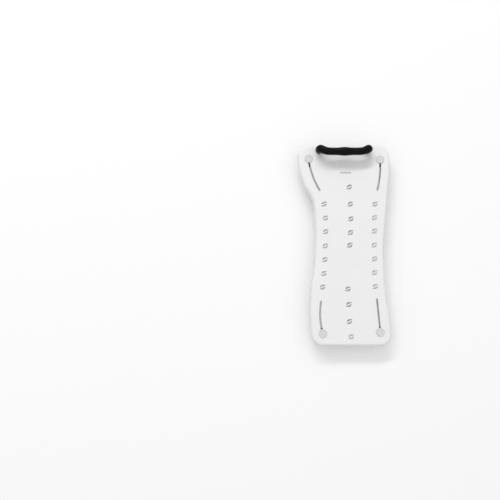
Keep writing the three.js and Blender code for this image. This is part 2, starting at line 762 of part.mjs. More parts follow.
// The bumper's core: a lobed knob at the foot, a neck for the sleeve, and a flange under the shoe.
function bumperCore() {
  const knobRing = (scaleShare, height) => {
    const ring = [];
    const count = KNOB_LOBES * KNOB_POINTS_PER_LOBE;
    for (let i = 0; i < count; i++) {
      const angle = (2 * Math.PI * i) / count;
      const lobed = KNOB_DIAMETER / 2 - (KNOB_LOBE_DEPTH / 2) * (1 - Math.cos(KNOB_LOBES * angle));
      const radius = lobed * scaleShare;
      ring.push(new THREE.Vector3(radius * Math.cos(angle), radius * Math.sin(angle), height));
    }
    return ring;
  };
  const footShare = 1 - (2 * KNOB_EDGE) / KNOB_DIAMETER;
  const knob = toSolid(
    loft([
      knobRing(footShare, 0),
      knobRing(1, KNOB_EDGE),
      knobRing(1, KNOB_HEIGHT - KNOB_EDGE),
      knobRing(footShare, KNOB_HEIGHT),
    ]),
  );
  const neck = SLEEVE_DIAMETER / 2 - SLEEVE_THICKNESS - SEAT_GAP;
  const flange = FLANGE_DIAMETER / 2;
  const stem = turned([
    [0, KNOB_HEIGHT / 2],
    [neck, KNOB_HEIGHT / 2],
    [neck, BUMPER_HEIGHT - FLANGE_THICKNESS],
    [flange, BUMPER_HEIGHT - FLANGE_THICKNESS],
    [flange, BUMPER_HEIGHT - FLANGE_EDGE],
    [flange - FLANGE_EDGE, BUMPER_HEIGHT],
    [0, BUMPER_HEIGHT],
  ]);
  const dish = cylinder(KNOB_DISH_DIAMETER / 2, -OVERRUN, KNOB_DISH_DEPTH);
  const seat = cylinder(
    INSERT_DIAMETER / 2 + SEAT_GAP,
    BUMPER_HEIGHT - INSERT_LENGTH - 2 * SEAT_GAP,
    BUMPER_HEIGHT + OVERRUN,
    SMALL_SIDES,
  );
  const bore = cylinder(
    BOLT_DIAMETER / 2 + SEAT_GAP,
    BUMPER_HEIGHT - BOLT_GRIP - BORE_EXTRA,
    BUMPER_HEIGHT,
    SMALL_SIDES,
  );
  return knob.add(stem).subtract(dish).subtract(seat.add(bore));
}

function bumperInsert() {
  const top = BUMPER_HEIGHT - SEAT_GAP;
  return tube(BOLT_DIAMETER / 2 + SEAT_GAP, INSERT_DIAMETER / 2, top - INSERT_LENGTH, top, SMALL_SIDES);
}

// The rubber sleeve: a thick tube with bevelled ends and shallow grooves round it.
function bumperSleeve() {
  const bottom = KNOB_HEIGHT + SEAT_GAP;
  const top = BUMPER_HEIGHT - FLANGE_THICKNESS - SEAT_GAP;
  const outer = SLEEVE_DIAMETER / 2;
  const inner = outer - SLEEVE_THICKNESS;
  const profile = [
    [inner, bottom],
    [outer - SLEEVE_EDGE, bottom],
    [outer, bottom + SLEEVE_EDGE],
  ];
  for (let i = 1; i <= SLEEVE_GROOVES; i++) {
    const middle = bottom + ((top - bottom) * i) / (SLEEVE_GROOVES + 1);
    profile.push([outer, middle - SLEEVE_GROOVE]);
    profile.push([outer - SLEEVE_GROOVE, middle]);
    profile.push([outer, middle + SLEEVE_GROOVE]);
  }
  profile.push([outer, top - SLEEVE_EDGE], [outer - SLEEVE_EDGE, top], [inner, top], [inner, bottom]);
  return turned(profile);
}

function bumperAssembly(slot) {
  const group = new THREE.Group();
  const { outer, curve } = slot.track;
  const ahead = curve.getTangent(0);
  group.position.set(outer.x, outer.y, 0);
  group.rotation.z = Math.atan2(ahead.y, ahead.x);
  group.add(
    meshOf(boltCap(), `bolt_cap_${slot.name}`, "cap"),
    meshOf(clampBolt(), `clamp_bolt_${slot.name}`, "steel"),
    meshOf(clampShoe(), `clamp_shoe_${slot.name}`, "knob"),
    meshOf(bumperCore(), `bumper_core_${slot.name}`, "knob"),
    meshOf(bumperInsert(), `bumper_insert_${slot.name}`, "brass"),
    meshOf(bumperSleeve(), `bumper_sleeve_${slot.name}`, "rubber"),
  );
  return group;
}

const bathBoard = new THREE.Group();
bathBoard.name = "bath_board";
bathBoard.add(meshOf(boardShell(), "board_shell", "board"));
const handle = meshOf(handleSolid(), "handle", "handle");
handle.position.set(handleX, handleY, footBottom);
bathBoard.add(handle);
for (const leg of legs) {
  bathBoard.add(handleFixings(leg));
}
for (const pad of pads) {
  bathBoard.add(rimPad(pad));
}
for (const slot of slots) {
  bathBoard.add(bumperAssembly(slot));
}

export default bathBoard;
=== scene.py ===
"""Looks of a bath board: a moulded plank with a grab handle, four clamped bumpers and rim pads.

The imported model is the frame. The visible mouldings, rubbers and fixings are modelled here at
their places in it. Each replaces its plain CAD node and rides on the same body. Lengths are in
metres. An outline is closed and runs anticlockwise as seen from above, and its points give the
places across and along the board.
"""

import json
import logging
import math
from collections.abc import Callable, Iterator, Sequence
from contextlib import contextmanager
from dataclasses import dataclass, field
from enum import Enum

import bmesh
import bpy
from mathutils import Matrix, Vector

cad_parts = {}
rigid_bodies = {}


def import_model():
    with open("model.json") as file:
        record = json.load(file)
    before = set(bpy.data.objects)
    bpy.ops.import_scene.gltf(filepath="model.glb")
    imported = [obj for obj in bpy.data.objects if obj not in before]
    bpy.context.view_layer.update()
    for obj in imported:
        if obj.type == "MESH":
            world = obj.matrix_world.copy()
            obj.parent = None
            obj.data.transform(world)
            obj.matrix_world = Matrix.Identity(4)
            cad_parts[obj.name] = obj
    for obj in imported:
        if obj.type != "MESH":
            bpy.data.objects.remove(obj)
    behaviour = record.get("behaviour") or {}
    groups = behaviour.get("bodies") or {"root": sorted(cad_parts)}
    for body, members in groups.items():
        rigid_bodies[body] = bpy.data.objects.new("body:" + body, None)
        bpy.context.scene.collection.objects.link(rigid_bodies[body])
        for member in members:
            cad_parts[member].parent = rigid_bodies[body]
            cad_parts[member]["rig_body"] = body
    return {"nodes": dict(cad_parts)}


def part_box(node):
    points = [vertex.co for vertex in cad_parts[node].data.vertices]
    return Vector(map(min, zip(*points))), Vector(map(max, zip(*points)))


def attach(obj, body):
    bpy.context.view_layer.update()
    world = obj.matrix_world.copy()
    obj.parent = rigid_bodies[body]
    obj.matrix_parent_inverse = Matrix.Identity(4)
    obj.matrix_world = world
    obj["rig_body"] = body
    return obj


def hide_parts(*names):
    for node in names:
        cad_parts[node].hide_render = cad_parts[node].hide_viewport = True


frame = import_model()

LOG = logging.getLogger("bath_board")
MM = 0.001
WELD = 1e-6
ROUND_SIDES = 64
BORE_SIDES = 32
BEVEL_SEGMENTS = 2
FULL_WEIGHT = 100
PLAIN_CREASE = 35.0
NOISE_CORE = (0.3, 0.7)
CORNERS = ("handle_left", "handle_right", "far_left", "far_right")
SIDES = ("left", "right")
UP = Vector((0.0, 0.0, 1.0))

Point = tuple[float, float]
Piece = bpy.types.Object
Socket = bpy.types.NodeSocket
Inputs = dict[str | int, object]
EdgeTest = Callable[[bmesh.types.BMEdge], bool]


class Combine(Enum):
    """How a tool body works on another body."""

    ADD = "UNION"
    CUT = "DIFFERENCE"
    KEEP_COMMON = "INTERSECT"


class MaterialSlot(Enum):
    """The record's material slots."""

    BOARD = "board"
    CAP = "cap"
    HANDLE = "handle"
    KNOB = "knob"
    RUBBER = "rubber"
    STEEL = "steel"
    BRASS = "brass"


# Bench work


def select_only(piece: Piece) -> None:
    """Selects one object alone and makes it the active one."""
    bpy.ops.object.select_all(action="DESELECT")
    piece.select_set(True)
    bpy.context.view_layer.objects.active = piece


@contextmanager
def editing(piece: Piece) -> Iterator[None]:
    """Opens a piece in edit mode with all of it selected, and closes it again."""
    select_only(piece)
    bpy.ops.object.mode_set(mode="EDIT")
    bpy.ops.mesh.select_all(action="SELECT")
    yield
    bpy.ops.object.mode_set(mode="OBJECT")


def level(height: float) -> EdgeTest:
    """A test that takes the edges at one height."""
    return lambda edge: all(abs(v.co.z - height) < WELD for v in edge.verts)


def bevelled(piece: Piece, wanted: EdgeTest, offset: float) -> None:
    """Rounds some edges of a piece that is open in edit mode.

    Args:
        piece: The piece.
        wanted: The test that takes an edge.
        offset: How far the rounding reaches from the edge.
    """
    bpy.ops.mesh.select_mode(type="EDGE")
    bpy.ops.mesh.select_all(action="DESELECT")
    for edge in bmesh.from_edit_mesh(piece.data).edges:
        if wanted(edge):
            edge.select_set(True)
    bmesh.update_edit_mesh(piece.data)
    bpy.ops.mesh.bevel(offset=offset, segments=BEVEL_SEGMENTS, profile=0.5)


def combine(body: Piece, how: Combine, *tools: Piece) -> None:
    """Joins bodies to a body one by one, cuts them out or keeps what both hold.

    Args:
        body: The closed body that stays.
        how: The way they are combined.
        tools: The closed bodies that work on it. They are used up.
    """
    for tool in tools:
        select_only(body)
        bpy.ops.object.modifier_add(type="BOOLEAN")
        modifier = body.modifiers[-1]
        modifier.operation = how.value
        modifier.solver = "MANIFOLD"
        modifier.object = tool
        bpy.ops.object.modifier_apply(modifier=modifier.name)
        bpy.data.objects.remove(tool, do_unlink=True)


def joined(pieces: Sequence[Piece]) -> Piece:
    """Puts bodies that don't touch into one object, the first one, and returns it."""
    select_only(pieces[0])
    for piece in pieces:
        piece.select_set(True)
    bpy.ops.object.join()
    return pieces[0]


def settled() -> Piece:
    """Works the newest object's place and size into its mesh, and returns it."""
    bpy.ops.object.transform_apply(location=True, rotation=True, scale=True)
    return bpy.context.object


def block(width: float, length: float, bottom: float, top: float, place: Point) -> Piece:
    """A plain upright block, as a tool body.

    Args:
        width: Its size across the board.
        length: Its size along the board.
        bottom: The height of its lower face.
        top: The height of its upper face.
        place: Its middle across and along.

    Returns:
        The block.
    """
    middle = (*place, (bottom + top) / 2)
    bpy.ops.mesh.primitive_cube_add(size=1, location=middle, scale=(width, length, top - bottom))
    return settled()


def disc(
    radius: float, bottom: float, top: float, place: Point, sides: int = ROUND_SIDES
) -> Piece:
    """A plain upright cylinder, as a tool body.

    Args:
        radius: Its radius.
        bottom: The height of its lower face.
        top: The height of its upper face.
        place: Where its axis stands.
        sides: Facets round it.

    Returns:
        The cylinder.
    """
    middle = (*place, (bottom + top) / 2)
    bpy.ops.mesh.primitive_cylinder_add(
        vertices=sides, radius=radius, depth=top - bottom, location=middle
    )
    return settled()


def plate(
    outline: Sequence[Point], height: float, facing_up: bool = True, inset: float = 0.0
) -> Piece:
    """A single face inside a closed outline.

    Args:
        outline: The outline.
        height: The height of the face.
        facing_up: Whether it faces up or down.
        inset: How far its rim lies inside the outline.

    Returns:
        The face, as an object.
    """
    bpy.ops.mesh.primitive_circle_add(vertices=len(outline), fill_type="NGON")
    piece = bpy.context.object
    for vertex, (x, y) in zip(piece.data.vertices, outline):
        vertex.co = (x, y, height)
    piece.data.update()
    with editing(piece):
        if (piece.data.polygons[0].normal.z > 0) != facing_up:
            bpy.ops.mesh.flip_normals()
        if inset:
            bpy.ops.mesh.select_mode(type="FACE")
            bpy.ops.mesh.inset(thickness=inset)
            bpy.ops.mesh.select_all(action="INVERT")
            bpy.ops.mesh.delete(type="FACE")
    return piece


def rise(piece: Piece, height: float, steps: Sequence[Point] = ()) -> None:
    """Raises a plate to a closed body: straight first, and then in steps.

    Args:
        piece: A single face.
        height: How far it first goes straight along its own normal.
        steps: For each further step, how far the end face draws in and how far it goes on.
    """
    onward = UP * piece.data.polygons[0].normal.z
    with editing(piece):
        bpy.ops.mesh.extrude_region_move(TRANSFORM_OT_translate={"value": onward * height})
        for inset, depth in steps:
            if inset:
                bpy.ops.mesh.inset(thickness=inset, depth=depth)
            else:
                bpy.ops.mesh.extrude_region_move(TRANSFORM_OT_translate={"value": onward * depth})
    face_outward(piece)


def face_outward(piece: Piece) -> None:
    """Turns all faces of a closed body outward."""
    with editing(piece):
        bpy.ops.mesh.normals_make_consistent(inside=False)
        if bmesh.from_edit_mesh(piece.data).calc_volume(signed=True) < 0:
            bpy.ops.mesh.flip_normals()


def prism(outline: Sequence[Point], bottom: float, top: float, inset: float = 0.0) -> Piece:
    """A straight body inside a closed outline, as a tool body.

    Args:
        outline: The outline.
        bottom: The height of its lower face.
        top: The height of its upper face.
        inset: How far it lies inside the outline.

    Returns:
        The body.
    """
    piece = plate(outline, bottom, inset=inset)
    rise(piece, top - bottom)
    return piece


def quarter_round(radius: float, steps: int) -> list[Point]:
    """The steps by which a side rounds over to an end face.

    Args:
        radius: The radius of the rounding.
        steps: Their number.

    Returns:
        How far each step goes in and how far it goes on.
    """
    angles = [math.pi / 2 * i / steps for i in range(steps + 1)]
    return [
        (radius * (math.cos(a) - math.cos(b)), radius * (math.sin(b) - math.sin(a)))
        for a, b in zip(angles, angles[1:])
    ]


def softened(profile: Sequence[tuple[float, float, float]], steps: int = 4) -> list[Point]:
    """Rounds the corners of a profile.

    Args:
        profile: Corners as distance from the axis, height and corner radius.
        steps: Edges in each rounded corner.

    Returns:
        The profile's points as distance and height.
    """
    points: list[Point] = []
    for i, (x, z, radius) in enumerate(profile):
        corner = Vector((x, z))
        if not radius or i in (0, len(profile) - 1):
            points.append((x, z))
            continue
        back = (Vector(profile[i - 1][:2]) - corner).normalized()
        onward = (Vector(profile[i + 1][:2]) - corner).normalized()
        half = back.angle(onward) / 2
        centre = corner + (back + onward).normalized() * radius / math.sin(half)
        start = corner + back * radius / math.tan(half) - centre
        end = corner + onward * radius / math.tan(half) - centre
        for step in range(steps + 1):
            reach = start.lerp(end, step / steps).normalized() * radius
            points.append(tuple(centre + reach))
    return points


def turned(profile: Sequence[Point], place: Point, sides: int = ROUND_SIDES) -> Piece:
    """A body turned about an upright axis.

    Args:
        profile: Distance from the axis and height, from one end of its outline to the other.
        place: Where the axis stands.
        sides: Facets round it.

    Returns:
        The closed body.
    """
    bpy.ops.mesh.primitive_plane_add(size=MM, location=(0, 0, 0))
    piece = bpy.context.object
    with editing(piece):
        bpy.ops.mesh.merge(type="CENTER")
        bpy.ops.mesh.select_mode(type="VERT")
        bpy.ops.mesh.select_all(action="SELECT")
        x, z = profile[0]
        bpy.ops.transform.translate(value=(place[0] + x, place[1], z))
        for (x_from, z_from), (x_to, z_to) in zip(profile, profile[1:]):
            move = (x_to - x_from, 0, z_to - z_from)
            bpy.ops.mesh.extrude_vertices_move(TRANSFORM_OT_translate={"value": move})
        bpy.ops.mesh.select_all(action="SELECT")
        bpy.ops.mesh.spin(steps=sides, angle=2 * math.pi, center=(*place, 0), axis=UP)
        bpy.ops.mesh.select_all(action="SELECT")
        bpy.ops.mesh.remove_doubles(threshold=WELD)
    face_outward(piece)
    return piece


def smoothed(piece: Piece, crease: float) -> None:
    """Shades a piece smooth, with its flat faces kept flat.

    Args:
        piece: The piece.
        crease: The edge angle up to which it is smooth, in degrees.
    """
    with editing(piece):
        bpy.ops.mesh.remove_doubles(threshold=2 * WELD)
    select_only(piece)
    bpy.ops.object.shade_smooth_by_angle(angle=math.radians(crease))
    bpy.ops.object.modifier_add(type="WEIGHTED_NORMAL")
    modifier = piece.modifiers[-1]
    modifier.keep_sharp = True
    modifier.weight = FULL_WEIGHT
    bpy.ops.object.modifier_apply(modifier=modifier.name)


def middle_of(node: str) -> Point:
    """Where a CAD node stands, across and along the board."""
    low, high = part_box(node)
    return ((low.x + high.x) / 2, (low.y + high.y) / 2)


def polar(angle: float, distance: float) -> Vector:
    """A step in a direction, in the plane of the board."""
    return Vector((math.cos(angle), math.sin(angle))) * distance


def arc(centre: Vector, radius: float, start: float, end: float, steps: int) -> list[Vector]:
    """The points of an arc between two angles, both ends included."""
    return [centre + polar(start + (end - start) * i / steps, radius) for i in range(steps + 1)]


def screw_places() -> list[Point]:
    """Where the handle's two screws stand."""
    return [middle_of(f"handle_screw_{side}") for side in SIDES]


# Finishes


@dataclass(frozen=True)
class Graph:
    """A shader's node tree, wired up call by call."""

    tree: bpy.types.NodeTree

    def feed(self, node: bpy.types.Node, inputs: Inputs) -> None:
        """Feeds a node.

        Args:
            node: The node.
            inputs: An output or a value for each input to be fed.
        """
        for name, value in inputs.items():
            if isinstance(value, Socket):
                self.tree.links.new(value, node.inputs[name])
            else:
                node.inputs[name].default_value = value

    def node(self, kind: str, inputs: Inputs | None = None, **settings: object) -> bpy.types.Node:
        """Adds a node.

        Args:
            kind: Its type, without the prefix that all share.
            inputs: An output or a value for each input to be fed.
            settings: Its own settings.

        Returns:
            The node.
        """
        node = self.tree.nodes.new(f"ShaderNode{kind}")
        for name, value in settings.items():
            setattr(node, name, value)
        self.feed(node, inputs or {})
        return node

    def maths(self, operation: str, *values: object) -> Socket:
        """The result of a calculation with one to three values."""
        return self.node("Math", dict(enumerate(values)), operation=operation).outputs["Value"]

    def noise(self, place: Socket, scale: float, detail: float = 2.0) -> Socket:
        """A soft noise over the piece, from 0 to 1."""
        inputs = {"Vector": place, "Scale": scale, "Detail": detail}
        return self.node("TexNoise", inputs).outputs["Fac"]

    def ranged(self, value: Socket, to: Point, span: Point = NOISE_CORE) -> Socket:
        """Spreads one span of a value over a new range, and holds the rest at its ends."""
        ends = zip(("From Min", "From Max", "To Min", "To Max"), (*span, *to))
        return self.node("MapRange", {"Value": value, **dict(ends)}).outputs["Result"]

    def mapped(self, place: Socket, **inputs: object) -> Socket:
        """A place that is turned or stretched about the origin."""
        return self.node("Mapping", {"Vector": place, **inputs}).outputs["Vector"]

    def bump(self, height: Socket, strength: float, depth: float, **settings: object) -> Socket:
        """The normal of a surface with a grain."""
        inputs = {"Height": height, "Strength": strength, "Distance": depth}
        return self.node("Bump", inputs, **settings).outputs["Normal"]


@dataclass(frozen=True)
class Finish:
    """A finish: a material with its colour, sheen and surface grain.

    Attributes:
        slot: The record's slot that it belongs to.
        roughness_spread: How far the roughness wanders to each side.
        grain: Grains to the metre.
        shade_spread: The share by which the colour wanders.
        sheen_patch: Grains to a patch of the wandering roughness.
        shade_patch: Grains to a patch of the wandering colour.
        relief: How strongly the grain shows.
    """

    slot: MaterialSlot
    name: str
    colour: tuple[float, float, float]
    roughness: float
    roughness_spread: float
    grain: float
    grain_depth: float
    shade_spread: float
    metal: bool = False
    specular: float = 0.5
    sheen_patch: float = 40.0
    shade_patch: float = 90.0
    relief: float = 0.5

    def put_on(self, piece: Piece) -> None:
        """Gives a piece this finish alone."""
        piece.data.materials.clear()
        piece.data.materials.append(bpy.data.materials.get(self.name) or self.mixed())

    def mixed(self) -> bpy.types.Material:
        """Makes the material."""
        material = bpy.data.materials.new(self.name)
        material.use_nodes = True
        graph = Graph(material.node_tree)
        place = graph.node("TexCoord").outputs["Object"]
        looks = {
            "Metallic": 1.0 if self.metal else 0.0,
            "Specular IOR Level": self.specular,
            "Base Color": self.shade(graph, place),
            "Roughness": self.polish(graph, place),
            "Normal": self.surface(graph, place),
        }
        graph.feed(graph.tree.nodes["Principled BSDF"], looks)
        return material

    def shade(self, graph: Graph, place: Socket) -> Socket:
        """The colour, which wanders a little, as pigment does in a moulding."""
        wander = graph.noise(place, self.grain / self.shade_patch, detail=4)
        ramp = graph.node("ValToRGB", {"Fac": wander})
        for element, position, share in zip(ramp.color_ramp.elements, NOISE_CORE, (-1, 1)):
            element.position = position
            change = 1 + share * self.shade_spread
            element.color = (*(min(1.0, part * change) for part in self.colour), 1)
        return ramp.outputs["Color"]

    def polish(self, graph: Graph, place: Socket) -> Socket:
        """The roughness, which wanders as handling and moulding leave it."""
        spread = (self.roughness - self.roughness_spread, self.roughness + self.roughness_spread)
        return graph.ranged(graph.noise(place, self.grain / self.sheen_patch, detail=6), spread)

    def surface(self, graph: Graph, place: Socket) -> Socket:
        """The normal with the grain."""
        grains = graph.noise(place, self.grain, detail=3)
        return graph.bump(grains, self.relief, self.grain_depth)


@dataclass(frozen=True)
class SparkedPlastic(Finish):
    """Moulded plastic with the pebbled face that a spark-eroded mould leaves."""

    pebble_relief: float = 0.6
    fine_relief: float = 0.4
    fine_share: float = 2.5

    def surface(self, graph: Graph, place: Socket) -> Socket:
        """The normal with round pebbles and a fine grain."""
        cells = {"Vector": place, "Scale": self.grain}
        pebbles = graph.node("TexVoronoi", cells, feature="SMOOTH_F1").outputs["Distance"]
        coarse = graph.bump(pebbles, self.pebble_relief, self.grain_depth, invert=True)
        fine = graph.noise(place, self.grain * self.fine_share)
        normal = graph.bump(fine, self.fine_relief, self.grain_depth / 2)
        graph.feed(normal.node, {"Normal": coarse})
        return normal


@dataclass(frozen=True)
class SeatPlastic(SparkedPlastic):
    """The board's plastic, with sparse fine scuffs from sitting, sliding and cleaning."""

    scuff_turn: float = 0.35
    scuff_lines: tuple[float, float, float] = (34.0, 420.0, 60.0)
    scuff_line_range: Point = (0.58, 0.66)
    scuff_patches: float = 9.0
    scuff_patch_range: Point = (0.48, 0.6)
    scuff_shine: float = 0.045

    def polish(self, graph: Graph, place: Socket) -> Socket:
        """The roughness, burnished in fine lines across the board, in scattered patches."""
        across = graph.mapped(place, Rotation=(0, 0, self.scuff_turn), Scale=self.scuff_lines)
        lines = graph.ranged(graph.noise(across, 1.0), (0, 1), self.scuff_line_range)
        spots = graph.noise(place, self.scuff_patches)
        scuffs = graph.maths("MULTIPLY", lines, graph.ranged(spots, (0, 1), self.scuff_patch_range))
        return graph.maths("MULTIPLY_ADD", scuffs, -self.scuff_shine, super().polish(graph, place))


@dataclass(frozen=True)
class GripPlastic(SparkedPlastic):
    """The handle's plastic, worn smoother where the hand closes round it."""

    grip_ends: Point = (30 * MM, 62 * MM)
    grip_shine: float = 0.1

    def polish(self, graph: Graph, place: Socket) -> Socket:
        """The roughness, burnished in the middle of the grip."""
        across = graph.node("SeparateXYZ", {"Vector": place}).outputs["X"]
        grip = graph.ranged(graph.maths("ABSOLUTE", across), (1, 0), self.grip_ends)
        return graph.maths("MULTIPLY_ADD", grip, -self.grip_shine, super().polish(graph, place))


@dataclass(frozen=True)
class TurnedMetal(Finish):
    """Metal with fine turning marks that lie level round the piece."""

    stretch: tuple[float, float, float] = (0.08, 0.08, 1.0)

    def surface(self, graph: Graph, place: Socket) -> Socket:
        """The normal with the grain drawn out along the piece's girth."""
        return super().surface(graph, graph.mapped(place, Scale=self.stretch))


BOARD_PLASTIC = SeatPlastic(
    MaterialSlot.BOARD, "board_plastic", colour=(0.83, 0.832, 0.832), roughness=0.48,
    roughness_spread=0.05, grain=1000, grain_depth=0.09 * MM, shade_spread=0.012,
)
CAP_PLASTIC = SparkedPlastic(
    MaterialSlot.CAP, "cap_plastic", colour=(0.665, 0.667, 0.668), roughness=0.48,
    roughness_spread=0.05, grain=1300, grain_depth=0.06 * MM, shade_spread=0.015,
)
KNOB_PLASTIC = SparkedPlastic(
    MaterialSlot.KNOB, "knob_plastic", colour=(0.69, 0.7, 0.71), roughness=0.48,
    roughness_spread=0.06, grain=1300, grain_depth=0.04 * MM, shade_spread=0.015,
)
HANDLE_PLASTIC = GripPlastic(
    MaterialSlot.HANDLE, "handle_plastic", colour=(0.0025, 0.0026, 0.0027), roughness=0.44,
    roughness_spread=0.06, grain=1100, grain_depth=0.05 * MM, shade_spread=0.1, specular=0.08,
)
SOFT_RUBBER = Finish(
    MaterialSlot.RUBBER, "soft_rubber", colour=(0.06, 0.061, 0.063), roughness=0.78,
    roughness_spread=0.08, grain=1400, grain_depth=0.06 * MM, shade_spread=0.12, specular=0.35,
)
STAINLESS = TurnedMetal(
    MaterialSlot.STEEL, "stainless_steel", colour=(0.56, 0.57, 0.58), roughness=0.28,
    roughness_spread=0.07, grain=3000, grain_depth=0.02 * MM, shade_spread=0.02, metal=True,
)
BRASS = TurnedMetal(
    MaterialSlot.BRASS, "turned_brass", colour=(0.6, 0.43, 0.19), roughness=0.32,
    roughness_spread=0.08, grain=3000, grain_depth=0.02 * MM, shade_spread=0.04, metal=True,
)


def dressed(
    piece: Piece, name: str, node: str, finish: Finish, crease: float = PLAIN_CREASE
) -> Piece:
    """Finishes a piece, lets it stand for its CAD node and lets it ride on that node's body.

    Args:
        piece: The modelled piece.
        name: Its name.
        node: The CAD node that it replaces.
        finish: Its finish.
        crease: The edge angle up to which it is shaded smooth, in degrees.

    Returns:
        The piece.
    """
    smoothed(piece, crease)
    finish.put_on(piece)
    piece.name = piece.data.name = name
    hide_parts(node)
    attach(piece, frame["nodes"][node]["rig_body"])
    LOG.info("%s stands for %s, %d faces", name, node, len(piece.data.polygons))
    return piece


# The board


def smooth_line(knots: Sequence[Vector], steps: int) -> list[Vector]:
    """A smooth line through places.

    Args:
        knots: The places.
        steps: Edges from each place to the next.

    Returns:
        The points.
    """
    line = [knots[0]]
    for i in range(len(knots) - 1):
        before, start, end = knots[max(i - 1, 0)], knots[i], knots[i + 1]
        after = knots[min(i + 2, len(knots) - 1)]
        leave, arrive = (end - before) / 2, (after - start) / 2
        for step in range(1, steps + 1):
            t = step / steps
            line.append(
                start * (2 * t**3 - 3 * t**2 + 1)
                + leave * (t**3 - 2 * t**2 + t)
                + end * (3 * t**2 - 2 * t**3)
                + arrive * (t**3 - t**2)
            )
    return line


@dataclass
class Outline:
    """The board's outline at its lower edge, in shares of half its length and half its width."""

    half_length: float = 345 * MM
    half_width: float = 159 * MM
    corner_radius: float = 40 * MM
    side_steps: int = 8
    corner_steps: int = 14
    left_shares: tuple[Point, ...] = (
        (-1, 0.884), (-0.98, 0.78), (-0.871, 0.6), (-0.72, 0.48), (-0.657, 0.39), (-0.632, 0.22),
        (-0.632, 0.01), (-0.664, -0.24), (-0.714, -0.355), (-0.739, -0.49), (-0.764, -0.655),
        (-0.738, -0.884),
    )
    right_shares: tuple[Point, ...] = (
        (0.975, -0.884), (0.965, -0.8), (0.928, -0.655), (0.874, -0.49), (0.846, -0.3),
        (0.846, 0.01), (0.89, 0.22), (0.925, 0.39), (0.972, 0.6), (0.997, 0.7), (1, 0.884),
    )

    def at(self, share: Point) -> Vector:
        """The place of a pair of shares, across and along the board."""
        return Vector((share[0] * self.half_width, share[1] * self.half_length))

    def side(self, shares: Sequence[Point]) -> list[Vector]:
        """A smooth side, whose ends move to where the corners begin.

        Args:
            shares: The places on it, as shares.

        Returns:
            The points.
        """
        knots = [self.at(share) for share in shares]
        reach = self.half_length - self.corner_radius
        for end in (knots[0], knots[-1]):
            end.y = math.copysign(reach, end.y)
        return smooth_line(knots, self.side_steps)

    def corner(self, foot: Vector, turn: float) -> list[Vector]:
        """The points of a round corner.

        Args:
            foot: Where the corner meets its side.
            turn: The angle at which its quarter starts, in radians.

        Returns:
            The points.
        """
        inward = -self.corner_radius if foot.x > 0 else self.corner_radius
        centre = foot + Vector((inward, 0))
        return arc(centre, self.corner_radius, turn, turn + math.pi / 2, self.corner_steps)

    def points(self) -> list[Point]:
        """The board's outline."""
        right, left = self.side(self.right_shares), self.side(self.left_shares)
        line = [
            *self.corner(right[0], -math.pi / 2),
            *right[1:-1],
            *self.corner(right[-1], 0),
            *self.corner(left[0], math.pi / 2),
            *left[1:-1],
            *self.corner(left[-1], math.pi),
        ]
        return [(p.x, p.y) for p in line]


@dataclass
class Slot:
    """One bolt slot: where the bolt stands at both stops, and the line between them.

    Attributes:
        name: The corner it belongs to.
        radius: The radius of the line, above zero where its centre lies right of the way in.
        overrun: How far the slot goes on past both stops.
    """

    name: str
    outer: Vector
    inner: Vector
    radius: float = 0.0
    overrun: float = 3.3 * MM
    steps: int = 28
    cap_steps: int = 12

    def along(self, distance: float) -> tuple[Vector, float]:
        """Finds a place on the line.

        Args:
            distance: How far it lies from the outer stop along the line.

        Returns:
            The place and the heading there, in radians.
        """
        chord = self.inner - self.outer
        if not self.radius:
            return self.outer + chord.normalized() * distance, math.atan2(chord.y, chord.x)
        radius = abs(self.radius)
        side = math.copysign(1.0, self.radius)
        reach = math.sqrt(radius**2 - chord.length_squared / 4) * side
        middle = (self.outer + self.inner) / 2
        centre = middle + Vector((chord.y, -chord.x)).normalized() * reach
        start = self.outer - centre
        turn = math.atan2(start.y, start.x) - side * distance / radius
        return centre + polar(turn, radius), turn - side * math.pi / 2

    def length(self) -> float:
        """The length of the line from stop to stop."""
        chord = (self.inner - self.outer).length
        if not self.radius:
            return chord
        return 2 * abs(self.radius) * math.asin(chord / 2 / abs(self.radius))

    def outline(self, half_width: float) -> list[Point]:
        """A round-ended band along the slot.

        Args:
            half_width: Half the band's width.

        Returns:
            The outline.
        """
        start, end = -self.overrun, self.length() + self.overrun
        points: list[Vector] = []
        for first, last, side in ((start, end, -math.pi / 2), (end, start, math.pi / 2)):
            for i in range(self.steps + 1):
                point, heading = self.along(first + (last - first) * i / self.steps)
                turn = heading + side
                points.append(point + polar(turn, half_width))
            points += arc(point, half_width, turn, turn + math.pi, self.cap_steps)[1:-1]
        return [tuple(point) for point in points]


def bar(place: Point, length: float, width: float) -> list[Point]:
    """The outline of a round-ended bar that lies across the board."""
    reach = (length - width) / 2
    ends = [Vector((place[0] + x, place[1])) for x in (-reach, reach)]
    return Slot("bar", ends[0], ends[1], overrun=0.0, steps=1).outline(width / 2)


